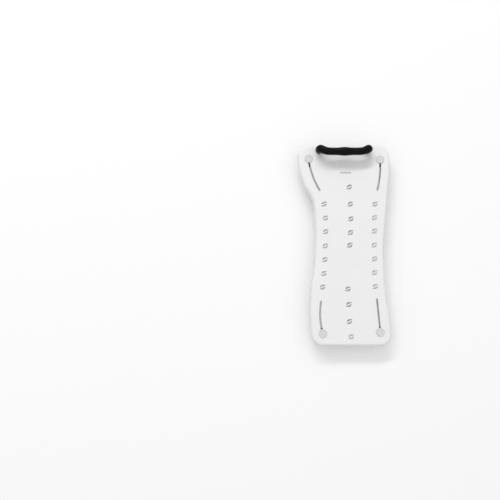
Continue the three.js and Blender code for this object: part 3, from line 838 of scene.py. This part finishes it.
@dataclass
class Board:
    """The moulded board: a skin with a drafted skirt, ribs, channels, wells and drains.

    Attributes:
        slot_places: For each corner, its slot's outer stop as a share across and a distance
            from the board's end, its inner stop as shares, and its radius.
        runs: The lengthwise ribs, each as a share across and its two ends as shares.
        dashes: The short openings behind the handle, each as its length, its distance from the
            board's end and the radius of its floor. A radius of zero goes through the panel.
    """

    outline: Outline = field(default_factory=Outline)
    bottom: float = 47.6 * MM
    top: float = 77.6 * MM
    panel: float = 4 * MM
    skirt: float = 3 * MM
    draft: float = 1.2 * MM
    edge_radius: float = 10 * MM
    edge_steps: int = 9
    land: float = 1 * MM
    rib: float = 2.2 * MM
    rib_recess: float = 1.5 * MM
    waist_inset: float = 18 * MM
    rim_radius: float = 0.6 * MM
    rim_steps: int = 4
    overrun: float = 5 * MM
    waist_shares: Point = (0.484, -0.516)
    cross_shares: tuple[float, ...] = (
        0.91, 0.754, 0.649, 0.484, 0.332, 0.194, 0.059, -0.08, -0.215, -0.355, -0.516, -0.675,
        -0.835,
    )
    runs: tuple[tuple[float, float, float], ...] = (
        (-0.157, -1, 1), (0.371, -1, 1), (-0.406, 0.484, 0.91), (0.588, 0.484, 0.91),
        (-0.355, -1, -0.516), (0.55, -1, -0.516),
    )
    drain_length: float = 19 * MM
    drain_head: float = 3.3 * MM
    drain_tail: float = 1.8 * MM
    drain_bend: float = 2.6 * MM
    drain_spacing: float = 11 * MM
    drain_slope: float = math.radians(18)
    head_steps: int = 18
    tail_steps: int = 10
    flank_steps: int = 5
    drain_shares: tuple[Point, ...] = (
        (-0.443, 0.4), (-0.415, 0.261), (-0.414, 0.125), (-0.425, -0.017), (-0.437, -0.152),
        (-0.459, -0.29), (-0.492, -0.423), (0.106, 0.571), (0.124, 0.4), (0.131, 0.252),
        (0.12, 0.116), (0.101, -0.009), (0.048, -0.441), (0.064, -0.593), (0.071, -0.759),
        (0.105, -0.907), (0.656, 0.4), (0.642, 0.264), (0.631, 0.13), (0.622, -0.009),
        (0.625, -0.145), (0.62, -0.281), (0.633, -0.417),
    )
    dash_width: float = 3 * MM
    dash_share: float = 0.029
    dashes: tuple[tuple[float, float, float], ...] = (
        (38 * MM, 98.5 * MM, 0.0), (45 * MM, 73.75 * MM, 1 * MM), (52 * MM, 49 * MM, 1 * MM),
    )
    slot_width: float = 6.6 * MM
    channel: float = 10 * MM
    channel_wall: float = 3 * MM
    slot_places: tuple[tuple[float, float, Point, float], ...] = (
        (-0.77, 49 * MM, (-0.546, 0.548), -272 * MM),
        (0.779, 52 * MM, (0.714, 0.553), 351 * MM),
        (-0.496, 43.4 * MM, (-0.529, -0.573), 242 * MM),
        (0.72, 48 * MM, (0.662, -0.553), 0.0),
    )
    pad_length: float = 60 * MM
    pad_width: float = 16 * MM
    key_width: float = 8 * MM
    pocket_gap: float = 0.3 * MM
    pocket_wall: float = 2 * MM
    well_radius: float = 8.3 * MM
    well_roof: float = 8 * MM
    tower_radius: float = 10.8 * MM
    screw_bore: float = 3.3 * MM
    crease: float = 32.0

    def slots(self) -> list[Slot]:
        """The four slots, in the order of the corners."""
        found = []
        for name, (outer_share, from_end, inner, radius) in zip(CORNERS, self.slot_places):
            end = math.copysign(self.outline.half_length - from_end, inner[1])
            outer = Vector((outer_share * self.outline.half_width, end))
            found.append(Slot(name, outer, self.outline.at(inner), radius))
        return found

    def body(self, inset: float, bottom: float, top: float, radius: float) -> Piece:
        """A closed body with drafted sides and a rounded upper edge, inside the outline.

        Args:
            inset: How far it lies inside the outline.
            bottom: The height of its lower face.
            top: The height of its upper face.
            radius: The radius of its upper edge.

        Returns:
            The body.
        """
        piece = plate(self.outline.points(), bottom, inset=inset)
        straight = top - bottom - radius - self.land
        rise(piece, self.land, [(self.draft, straight), *quarter_round(radius, self.edge_steps)])
        return piece

    def skin(self) -> Piece:
        """The outer skin with its hollow: panel, rounded edge and skirt."""
        skin = self.body(0.0, self.bottom, self.top, self.edge_radius)
        with editing(skin):
            bevelled(skin, level(self.bottom), self.rim_radius)
        low, high = self.bottom - self.overrun, self.top - self.panel
        combine(skin, Combine.CUT, self.body(self.skirt, low, high, self.edge_radius - self.panel))
        return skin

    def ribs(self) -> Piece:
        """The rib grid and the screw towers, cut to the room inside the skin."""
        low, high = self.bottom, self.top - self.panel / 2
        at, half_length = self.outline.at, self.outline.half_length
        grid, *more = [
            block(self.rib, (end - start) * half_length, low, high, tuple(at((share, middle))))
            for share, start, end in self.runs
            for middle in [(start + end) / 2]
        ]
        for share in self.cross_shares:
            place = tuple(at((0, share)))
            more.append(block(2 * self.outline.half_width, self.rib, low, high, place))
        more.append(self.waist_ribs(low, high))
        more += [disc(self.tower_radius, low, high, place) for place in screw_places()]
        combine(grid, Combine.ADD, *more)
        inside = self.skirt / 2
        low, high, radius = low + self.rib_recess, self.top - inside, self.edge_radius - inside
        combine(grid, Combine.KEEP_COMMON, self.body(inside, low, high, radius))
        return grid

    def waist_ribs(self, low: float, high: float) -> Piece:
        """The two ribs that follow the waist at a distance from the skirt.

        Args:
            low: The height of their lower edge.
            high: The height of their upper edge.

        Returns:
            Both ribs, as one body.
        """
        points, over = self.outline.points(), self.overrun
        outer = prism(points, low, high, self.waist_inset)
        inner = prism(points, low - over, high + over, self.waist_inset + self.rib)
        combine(outer, Combine.CUT, inner)
        start, end = (share * self.outline.half_length for share in self.waist_shares)
        middle = (0.0, (start + end) / 2)
        room = block(2 * self.outline.half_width, start - end, low - over, high + over, middle)
        combine(outer, Combine.KEEP_COMMON, room)
        return outer

    def walls(self) -> list[Piece]:
        """The walls of the slot channels and of the pads' pockets."""
        half = self.channel / 2 + self.channel_wall
        outlines = [slot.outline(half) for slot in self.slots()]
        outlines += self.pockets(self.pocket_gap + self.pocket_wall)
        return [prism(outline, self.bottom, self.top - self.panel / 2) for outline in outlines]

    def pockets(self, grown: float) -> list[list[Point]]:
        """The outlines of the four pads' keys, grown by a distance."""
        length = self.pad_length - self.pad_width + self.key_width + 2 * grown
        width = self.key_width + 2 * grown
        return [bar(middle_of(f"rim_pad_{corner}"), length, width) for corner in CORNERS]

    def comma(self, place: Vector, turn: float) -> list[Point]:
        """One drain hole: a round head, a round tail and sides that arch.

        Args:
            place: The middle of the pair.
            turn: The half turn of the lower one of the pair.

        Returns:
            The hole's outline, grown by the rim's radius.
        """
        head, tail, half = self.drain_head, self.drain_tail, self.drain_length / 2
        head_x, tail_x = head - half, half - tail
        lean, rim = math.acos((head - tail) / (tail_x - head_x)), self.rim_radius
        ring = arc(Vector((head_x, 0)), head + rim, lean, 2 * math.pi - lean, self.head_steps)
        ends = arc(Vector((tail_x, 0)), tail + rim, -lean, lean, self.tail_steps)
        shares = [i / self.flank_steps for i in range(1, self.flank_steps)]
        lower = [ring[-1].lerp(ends[0], share) for share in shares]
        upper = [ends[-1].lerp(ring[0], share) for share in shares]
        middle = place + Vector((0, self.drain_spacing / 2 * math.cos(turn)))
        spin = Matrix.Rotation(self.drain_slope + turn, 2)
        points = []
        for point in [*ring, *lower, *ends, *upper]:
            bent = Vector((point.x, point.y - self.drain_bend * (point.x / half) ** 2))
            points.append(tuple(middle + spin @ bent))
        return points

    def cutter(self, wide: Sequence[Point], floor: float = 0.0) -> Piece:
        """A tool body for a hole in the panel with a rounded upper rim.

        Args:
            wide: The hole's outline, grown by the rim's radius.
            floor: The radius round the floor of a groove. A radius of zero goes through.

        Returns:
            The tool body.
        """
        rounding = quarter_round(self.rim_radius, self.rim_steps)
        steps = [(inward, onward) for onward, inward in rounding]
        if floor:
            steps += quarter_round(floor, self.rim_steps)
        else:
            steps.append((0.0, self.panel + self.overrun))
        piece = plate(wide, self.top + self.overrun, facing_up=False)
        rise(piece, self.overrun, steps)
        return piece

    def holes(self) -> Piece:
        """The drains, the short openings and the bolt slots, as one tool body."""
        rim, outline = self.rim_radius, self.outline
        places = [outline.at(share) for share in self.drain_shares]
        tools = [self.cutter(self.comma(place, turn)) for place in places for turn in (0, math.pi)]
        for length, from_end, floor in self.dashes:
            place = (self.dash_share * outline.half_width, outline.half_length - from_end)
            wide = bar(place, length + 2 * rim, self.dash_width + 2 * rim)
            tools.append(self.cutter(wide, floor))
        tools += [self.cutter(slot.outline(self.slot_width / 2 + rim)) for slot in self.slots()]
        return joined(tools)

    def hollows(self) -> list[Piece]:
        """The channels, pockets and screw wells, as one tool body, and the screws' two bores."""
        low, under = self.bottom - self.overrun, self.top - self.panel
        outlines = [slot.outline(self.channel / 2) for slot in self.slots()]
        outlines += self.pockets(self.pocket_gap)
        tools = [prism(outline, low, under) for outline in outlines]
        places, well_top = screw_places(), self.top - self.well_roof
        tools += [disc(self.well_radius, low, well_top, place) for place in places]
        high = self.top + self.overrun
        bores = [disc(self.screw_bore, self.bottom, high, place, BORE_SIDES) for place in places]
        return [joined(tools), *bores]

    def build(self) -> list[Piece]:
        """Builds and dresses the board's one piece."""
        board = self.skin()
        combine(board, Combine.ADD, self.ribs(), *self.walls())
        combine(board, Combine.CUT, *self.hollows(), self.holes())
        return [dressed(board, "board_moulding", "board_shell", BOARD_PLASTIC, self.crease)]


# The grab handle


@dataclass
class GrabHandle:
    """The grab handle: one moulding that swells at the grip and at both bends, and its fixings.

    Attributes:
        half_shares: The centre line from the foot to the middle, each point as shares of half
            the span, of the bow, of the height and of the grip's radius.
    """

    span: float = 166 * MM
    bow: float = 13.5 * MM
    height: float = 44 * MM
    grip_radius: float = 15.15 * MM
    foot_edge: float = 0.6 * MM
    steps: int = 12
    girth_steps: int = 14
    bore_radius: float = 5.8 * MM
    bore_depth: float = 20 * MM
    crease: float = 40.0
    half_shares: tuple[tuple[float, float, float, float], ...] = (
        (1, 0, 0, 0.71), (1, 0.05, 0.32, 0.75), (1.01, 0.14, 0.64, 0.86), (0.96, 0.28, 0.9, 0.89),
        (0.82, 0.74, 1, 0.86), (0.64, 0.98, 1.005, 0.84), (0.3, 1, 1, 0.84), (0, 1, 1, 0.98),
    )

    def line(self) -> list[tuple[Vector, float]]:
        """The centre line from foot to foot, with the radius at each point."""
        half = self.half_shares
        shares = [(-a, b, u, r) for a, b, u, r in half] + list(reversed(half[:-1]))
        knots = [
            Vector((a * self.span / 2, -b * self.bow, u * self.height, r * self.grip_radius))
            for a, b, u, r in shares
        ]
        return [(point.xyz, point.w) for point in smooth_line(knots, self.steps)]

    def sweep(self, foot: Vector) -> Piece:
        """Sweeps a circle along the centre line.

        Args:
            foot: The middle between the feet.

        Returns:
            The handle without its bores.
        """
        line = self.line()
        ends = [(end - UP * self.bore_radius, radius) for end, radius in (line[0], line[-1])]
        points = [ends[0], *line, ends[1]]
        bpy.ops.curve.primitive_nurbs_path_add(location=(0, 0, 0))
        curve = bpy.context.object.data
        curve.splines.clear()
        spline = curve.splines.new("POLY")
        spline.points.add(len(points) - 1)
        for knot, (point, thickness) in zip(spline.points, points):
            knot.co = (*(foot + point), 1)
            knot.radius = thickness
        curve.dimensions = "3D"
        curve.twist_mode = "MINIMUM"
        curve.bevel_depth = 1.0
        curve.bevel_resolution = self.girth_steps
        curve.use_fill_caps = True
        bpy.ops.object.convert(target="MESH")
        piece = bpy.context.object
        with editing(piece):
            bpy.ops.mesh.remove_doubles(threshold=WELD)
            bpy.ops.mesh.bisect(plane_co=foot, plane_no=UP, use_fill=True, clear_inner=True)
            bevelled(piece, level(foot.z), self.foot_edge)
        face_outward(piece)
        return piece

    def build(self) -> list[Piece]:
        """Builds and dresses the handle and its fixings."""
        left, right = places = screw_places()
        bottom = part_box("handle")[0].z
        handle = self.sweep(Vector(((left[0] + right[0]) / 2, left[1], bottom)))
        low, high = bottom - MM, bottom + self.bore_depth
        bores = [disc(self.bore_radius, low, high, place, BORE_SIDES) for place in places]
        combine(handle, Combine.CUT, *bores)
        pieces = [dressed(handle, "grab_handle", "handle", HANDLE_PLASTIC, self.crease)]
        for side in SIDES:
            pieces += HandleFixing(side).build()
        return pieces


@dataclass
class HandleFixing:
    """What holds one foot of the handle: a rubber gasket, a washer and a socket screw."""

    side: str
    bore: float = 3.6 * MM
    gasket_edge: float = 0.5 * MM
    gasket_steps: int = 4
    washer_edge: float = 0.25 * MM
    washer_steps: int = 2
    shank: float = 3 * MM
    socket: float = 2.5 * MM
    socket_depth: float = 2.2 * MM
    head_radius: float = 5.25 * MM
    head_height: float = 4 * MM
    head_edge: float = 0.4 * MM
    screw_sides: int = 48
    screw_steps: int = 3

    @property
    def place(self) -> Point:
        """Where the screw stands."""
        return middle_of(f"handle_screw_{self.side}")

    def build(self) -> list[Piece]:
        """Builds and dresses the gasket, the washer and the screw."""
        edge = self.washer_edge
        return [
            self.ring("gasket", self.bore, self.gasket_edge, self.gasket_steps, SOFT_RUBBER),
            self.ring("washer", self.bore - edge, edge, self.washer_steps, STAINLESS),
            self.screw(),
        ]

    def ring(self, part: str, bore: float, edge: float, steps: int, finish: Finish) -> Piece:
        """A flat ring as big as its CAD node.

        Args:
            part: What the ring is.
            bore: The radius of its hole.
            edge: The radius of its outer edges.
            steps: Edges in each of these.
            finish: Its finish.

        Returns:
            The ring.
        """
        node = f"handle_{part}_{self.side}"
        low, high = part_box(node)
        radius = (high.y - low.y) / 2
        profile = [
            (bore, low.z, 0), (radius, low.z, edge), (radius, high.z, edge), (bore, high.z, 0),
            (bore, low.z, 0),
        ]
        ring = turned(softened(profile, steps), self.place)
        return dressed(ring, f"foot_{part}_{self.side}", node, finish)

    def screw(self) -> Piece:
        """The socket screw that comes up from the well into the handle's insert."""
        node = f"handle_screw_{self.side}"
        low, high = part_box(node)
        head_top = low.z + self.head_height
        edge = self.head_edge
        profile = [
            (0, low.z, 0), (self.head_radius, low.z, edge), (self.head_radius, head_top, edge / 2),
            (self.shank, head_top, 0), (self.shank, high.z, edge * 2), (0, high.z, 0),
        ]
        screw = turned(softened(profile, self.screw_steps), self.place, self.screw_sides)
        x, y = self.place
        corners = [polar(math.pi / 3 * i, self.socket / math.cos(math.pi / 6)) for i in range(6)]
        hexagon = [(x + corner.x, y + corner.y) for corner in corners]
        combine(screw, Combine.CUT, prism(hexagon, low.z - MM, low.z + self.socket_depth))
        return dressed(screw, f"foot_screw_{self.side}", node, STAINLESS)


# The bumpers


@dataclass
class Bumper:
    """One clamped bumper: cap, shoe, hand-turned core and rubber sleeve."""

    slot: Slot
    cap_radius: float = 14 * MM
    cap_edge: float = 1.3 * MM
    cap_rim: float = 2.6 * MM
    cap_dish: float = 0.8 * MM
    cap_dish_edges: Point = (0.5 * MM, 0.8 * MM)
    cap_pocket: float = 7.8 * MM
    cap_pocket_depth: float = 1.5 * MM
    cap_sides: int = 72
    shoe_radius: float = 15 * MM
    shoe_thickness: float = 3 * MM
    shoe_edge: float = 0.5 * MM
    key_width: float = 9.4 * MM
    key_length: float = 15.4 * MM
    bore: float = 3.3 * MM
    knob_radius: float = 16.5 * MM
    knob_height: float = 12 * MM
    knob_edge: float = 1.6 * MM
    knob_lobes: int = 8
    knob_sides: int = 96
    lobe_cut: float = 6 * MM
    lobe_depth: float = 1.1 * MM
    lobe_rise: float = 0.15 * MM
    lobe_edge: float = 0.35 * MM
    lobe_sides: int = 48
    lobe_crease: float = math.radians(24)
    dish_radius: float = 9 * MM
    dish_depth: float = 1.5 * MM
    dish_edges: Point = (0.6 * MM, 0.5 * MM)
    neck_radius: float = 10.7 * MM
    flange_radius: float = 15 * MM
    flange_thickness: float = 5 * MM
    flange_edges: Point = (0.6 * MM, 1 * MM)
    insert_seat: float = 5.3 * MM
    insert_depth: float = 15.6 * MM
    bore_depth: float = 25 * MM
    sleeve_radius: float = 17 * MM
    sleeve_inner: float = 11 * MM
    sleeve_edge: float = 1.5 * MM
    grooves: int = 4
    groove: float = 0.8 * MM
    fine: float = 0.2 * MM
    soft: float = 0.3 * MM
    fine_steps: int = 5
    coarse_steps: int = 3

    @property
    def place(self) -> Point:
        """Where the bolt stands at rest."""
        return (self.slot.outer.x, self.slot.outer.y)

    def cap(self) -> Piece:
        """The dished cap over the bolt's head."""
        node = f"bolt_cap_{self.slot.name}"
        low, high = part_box(node)
        radius, rim = self.cap_radius, self.cap_radius - self.cap_rim
        pocket, dish = self.cap_pocket, high.z - self.cap_dish
        roof = low.z + self.cap_pocket_depth
        profile = [
            (0, roof, 0), (pocket, roof, self.fine), (pocket, low.z, self.fine),
            (radius, low.z, self.soft), (radius, high.z, self.cap_edge),
            (rim, high.z, self.cap_dish_edges[0]),
            (rim - self.cap_dish, dish, self.cap_dish_edges[1]), (0, dish, 0),
        ]
        cap = turned(softened(profile, self.fine_steps), self.place, self.cap_sides)
        return dressed(cap, f"slot_cap_{self.slot.name}", node, CAP_PLASTIC)

    def shoe(self) -> Piece:
        """The round shoe under the channel, with the key that runs in it."""
        node = f"clamp_shoe_{self.slot.name}"
        low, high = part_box(node)
        top, middle = low.z + self.shoe_thickness, low.z + self.shoe_thickness / 2
        radius, edge = self.shoe_radius, self.shoe_edge
        profile = [(0, low.z, 0), (radius, low.z, edge), (radius, top, edge), (0, top, 0)]
        shoe = turned(softened(profile), self.place)
        reach = polar(self.slot.along(0)[1], (self.key_length - self.key_width) / 2)
        outer = self.slot.outer
        line = Slot("key", outer - reach, outer + reach, overrun=0.0, steps=1)
        key = plate(line.outline(self.key_width / 2), middle)
        height = high.z - top + self.shoe_thickness / 2 - edge
        rise(key, height, quarter_round(edge, self.coarse_steps))
        combine(shoe, Combine.ADD, key)
        bore = disc(self.bore, low.z - MM, high.z + MM, self.place, BORE_SIDES)
        combine(shoe, Combine.CUT, bore)
        return dressed(shoe, f"channel_shoe_{self.slot.name}", node, KNOB_PLASTIC)

    def core(self) -> Piece:
        """The hand-turned core: a knob with finger flutes, a neck and a flange."""
        node = f"bumper_core_{self.slot.name}"
        low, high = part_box(node)
        dish, knob_top = low.z + self.dish_depth, low.z + self.knob_height
        flange_low = high.z - self.flange_thickness
        seat, bore_top = high.z - self.insert_depth, high.z - self.bore_depth
        profile = [
            (0, dish, 0), (self.dish_radius, dish, self.dish_edges[0]),
            (self.dish_radius, low.z, self.dish_edges[1]),
            (self.knob_radius, low.z, self.knob_edge), (self.knob_radius, knob_top, self.knob_edge),
            (self.neck_radius, knob_top, 0), (self.neck_radius, flange_low, 0),
            (self.flange_radius, flange_low, self.flange_edges[0]),
            (self.flange_radius, high.z, self.flange_edges[1]),
            (self.insert_seat, high.z, self.soft), (self.insert_seat, seat, 0),
            (self.bore, seat, 0), (self.bore, bore_top, 0), (0, bore_top, 0),
        ]
        core = turned(softened(profile, self.fine_steps), self.place, self.knob_sides)
        reach = self.knob_radius + self.lobe_cut - self.lobe_depth
        flutes = []
        for i in range(self.knob_lobes):
            centre = Vector(self.place) + polar(2 * math.pi * (i + 0.5) / self.knob_lobes, reach)
            ends = (low.z - MM, knob_top + self.lobe_rise)
            flutes.append(disc(self.lobe_cut, *ends, tuple(centre), self.lobe_sides))
        combine(core, Combine.CUT, joined(flutes))
        with editing(core):
            bevelled(core, self.on_flute, self.lobe_edge)
        for vertex in core.data.vertices:
            vertex.co.z = max(vertex.co.z, low.z)
        return dressed(core, f"bumper_knob_{self.slot.name}", node, KNOB_PLASTIC)

    def on_flute(self, edge: bmesh.types.BMEdge) -> bool:
        """Tells the sharp edges between the flutes and the knob's outside from the others.

        Args:
            edge: An edge of the core.

        Returns:
            Whether it is one of them.
        """
        if len(edge.link_faces) != 2 or edge.calc_face_angle(0) < self.lobe_crease:
            return False
        reach = [(v.co.xy - self.slot.outer).length for v in edge.verts]
        inside = min(reach) > self.knob_radius - self.lobe_depth - self.knob_edge
        return inside and max(v.co.z for v in edge.verts) < self.knob_height + MM

    def sleeve(self) -> Piece:
        """The rubber sleeve with its grooves."""
        node = f"bumper_sleeve_{self.slot.name}"
        low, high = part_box(node)
        outer, inner, depth = self.sleeve_radius, self.sleeve_inner, self.groove
        profile = [(inner, low.z, 0.0), (outer, low.z, self.sleeve_edge)]
        for i in range(1, self.grooves + 1):
            middle = low.z + (high.z - low.z) * i / (self.grooves + 1)
            profile += [
                (outer, middle - depth, self.soft), (outer - depth, middle - depth / 3, self.fine),
                (outer - depth, middle + depth / 3, self.fine), (outer, middle + depth, self.soft),
            ]
        profile += [(outer, high.z, self.sleeve_edge), (inner, high.z, 0.0), (inner, low.z, 0.0)]
        sleeve = turned(softened(profile, self.coarse_steps), self.place)
        return dressed(sleeve, f"bumper_rubber_{self.slot.name}", node, SOFT_RUBBER)

    def build(self) -> list[Piece]:
        """Builds and dresses the bumper's four pieces."""
        return [self.cap(), self.shoe(), self.core(), self.sleeve()]


@dataclass
class RimPad:
    """A rubber pad that rests on the rim of the bath, with ridges along it and a key above."""

    corner: str
    thickness: float = 3 * MM
    key_width: float = 8 * MM
    ridge_depth: float = 0.7 * MM
    ridge_width: float = 1.4 * MM
    ridge_count: int = 4
    ridge_share: float = 0.8
    soft: float = 0.5 * MM
    soft_steps: int = 3

    def build(self) -> list[Piece]:
        """Builds and dresses the pad's one piece."""
        node = f"rim_pad_{self.corner}"
        low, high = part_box(node)
        x, y = place = middle_of(node)
        length, width = high.x - low.x, high.y - low.y
        top = low.z + self.thickness
        pad = plate(bar(place, length, width), top, facing_up=False)
        rise(pad, self.thickness - self.soft, quarter_round(self.soft, self.soft_steps))
        key = bar(place, length - width + self.key_width, self.key_width)
        combine(pad, Combine.ADD, prism(key, top - self.thickness / 2, high.z))
        grooves = []
        for i in range(self.ridge_count):
            across = y + width * ((i + 0.5) / self.ridge_count - 0.5) * self.ridge_share
            run = bar((x, across), length - width, self.ridge_width)
            grooves.append(prism(run, low.z - MM, low.z + self.ridge_depth))
        combine(pad, Combine.CUT, joined(grooves))
        return [dressed(pad, f"rim_rubber_{self.corner}", node, SOFT_RUBBER)]


@dataclass
class Hardware:
    """The CAD nodes that stay as they are, with metal finishes."""

    clamp_bolt: Finish = STAINLESS
    bumper_insert: Finish = BRASS
    handle_insert: Finish = BRASS

    def build(self) -> list[Piece]:
        """Dresses the bolts and inserts."""
        finishes = vars(self)
        pieces = []
        for name, node in frame["nodes"].items():
            for start in finishes:
                if name.startswith(start):
                    finishes[start].put_on(node)
                    pieces.append(node)
                    LOG.info("%s keeps its CAD shape", name)
        return pieces


# The studio


@dataclass
class Studio:
    """The floor, the light and the camera at the photograph's viewing angle.

    Attributes:
        sky_low: The sky's strength at the horizon and below it.
        sky_high: The sky's strength straight overhead.
        floor_lift: The share of white in the floor where it is seen.
    """

    camera_place: tuple[float, float, float] = (-0.3239, -0.2122, 2.2776)
    camera_tilt: float = math.radians(5)
    lens: float = 46.745
    sensor: float = 36.0
    key_place: tuple[float, float, float] = (-1.61, 4.34, 5.25)
    key_width: float = 4.2
    key_depth: float = 0.6
    key_power: float = 180.0
    sky_low: float = 0.24
    sky_high: float = 1.0
    floor_size: float = 24.0
    floor_colour: tuple[float, float, float] = (0.95, 0.95, 0.95)
    floor_roughness: float = 0.9
    floor_lift: float = 0.25

    def stand(self, data: bpy.types.ID, place: Sequence[float], turn: Sequence[float]) -> Piece:
        """Puts a camera or a lamp in the scene.

        Args:
            data: The camera or the lamp.
            place: Where it stands.
            turn: Its rotation, in radians.

        Returns:
            Its object.
        """
        thing = bpy.data.objects.new(data.name, data)
        bpy.context.scene.collection.objects.link(thing)
        thing.location, thing.rotation_euler = place, turn
        return thing

    def camera(self) -> None:
        """Sets the camera."""
        data = bpy.data.cameras.new("studio_camera")
        data.lens, data.sensor_width = self.lens, self.sensor
        camera = self.stand(data, self.camera_place, (self.camera_tilt, 0, 0))
        bpy.context.scene.camera = camera

    def lamp(self) -> None:
        """Hangs the soft key lamp."""
        data = bpy.data.lights.new("key_lamp", "AREA")
        data.shape, data.energy = "RECTANGLE", self.key_power
        data.size, data.size_y = self.key_width, self.key_depth
        aim = (-Vector(self.key_place)).to_track_quat("-Z", "Y").to_euler()
        self.stand(data, self.key_place, aim)

    def sky(self) -> None:
        """Lights the scene softly from overhead, with a white surround where it is seen."""
        world = bpy.data.worlds.new("studio_sky")
        bpy.context.scene.world = world
        world.use_nodes = True
        graph = Graph(world.node_tree)
        direction = graph.node("TexCoord").outputs["Generated"]
        height = graph.node("SeparateXYZ", {"Vector": direction}).outputs["Z"]
        dome = graph.ranged(height, (self.sky_low, self.sky_high), (0, 1))
        strength = graph.maths("MAXIMUM", dome, self.seen(graph))
        background = {"Color": (1, 1, 1, 1), "Strength": strength}
        graph.feed(graph.tree.nodes["Background"], background)

    def seen(self, graph: Graph) -> Socket:
        """A value of 1 for the rays that show the surround: straight, mirrored or through glass."""
        path = graph.node("LightPath").outputs
        value = path["Is Camera Ray"]
        for name in ("Is Glossy Ray", "Is Transmission Ray"):
            value = graph.maths("MAXIMUM", value, path[name])
        return value

    def floor(self) -> None:
        """Lays the plain pale floor, lifted towards white where it is seen, open from below."""
        bpy.ops.mesh.primitive_plane_add(size=self.floor_size, location=(0, 0, 0))
        floor = bpy.context.object
        floor.name = "studio_floor"
        material = bpy.data.materials.new("studio_floor")
        material.use_nodes = True
        graph = Graph(material.node_tree)
        shader = graph.tree.nodes["Principled BSDF"]
        looks = {"Base Color": (*self.floor_colour, 1), "Roughness": self.floor_roughness}
        graph.feed(shader, {**looks, "Specular IOR Level": 0.0})
        glow = graph.node("Emission").outputs["Emission"]
        share = graph.ranged(self.seen(graph), (0, self.floor_lift), (0, 1))
        lifted = graph.node("MixShader", {0: share, 1: shader.outputs["BSDF"], 2: glow})
        under = graph.node("NewGeometry").outputs["Backfacing"]
        direct = graph.node("LightPath").outputs["Is Camera Ray"]
        clear = graph.node("BsdfTransparent").outputs["BSDF"]
        share = graph.maths("MULTIPLY", under, direct)
        surface = graph.node("MixShader", {0: share, 1: lifted.outputs["Shader"], 2: clear})
        graph.feed(graph.tree.nodes["Material Output"], {"Surface": surface.outputs["Shader"]})
        floor.data.materials.append(material)

    def build(self) -> None:
        """Sets up the whole studio."""
        bpy.context.scene.view_settings.view_transform = "Standard"
        self.camera()
        self.lamp()
        self.sky()
        self.floor()
        LOG.info("the studio is set")


def main() -> None:
    """Builds every sub-assembly in order, then the studio."""
    logging.basicConfig(level=logging.INFO, format="%(name)s: %(message)s")
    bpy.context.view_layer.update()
    board = Board()
    pieces = board.build()
    pieces += GrabHandle().build()
    for slot in board.slots():
        pieces += Bumper(slot).build()
    for corner in CORNERS:
        pieces += RimPad(corner).build()
    pieces += Hardware().build()
    Studio().build()
    LOG.info("%d pieces stand in the scene", len(pieces))


if __name__ == "__main__":
    main()
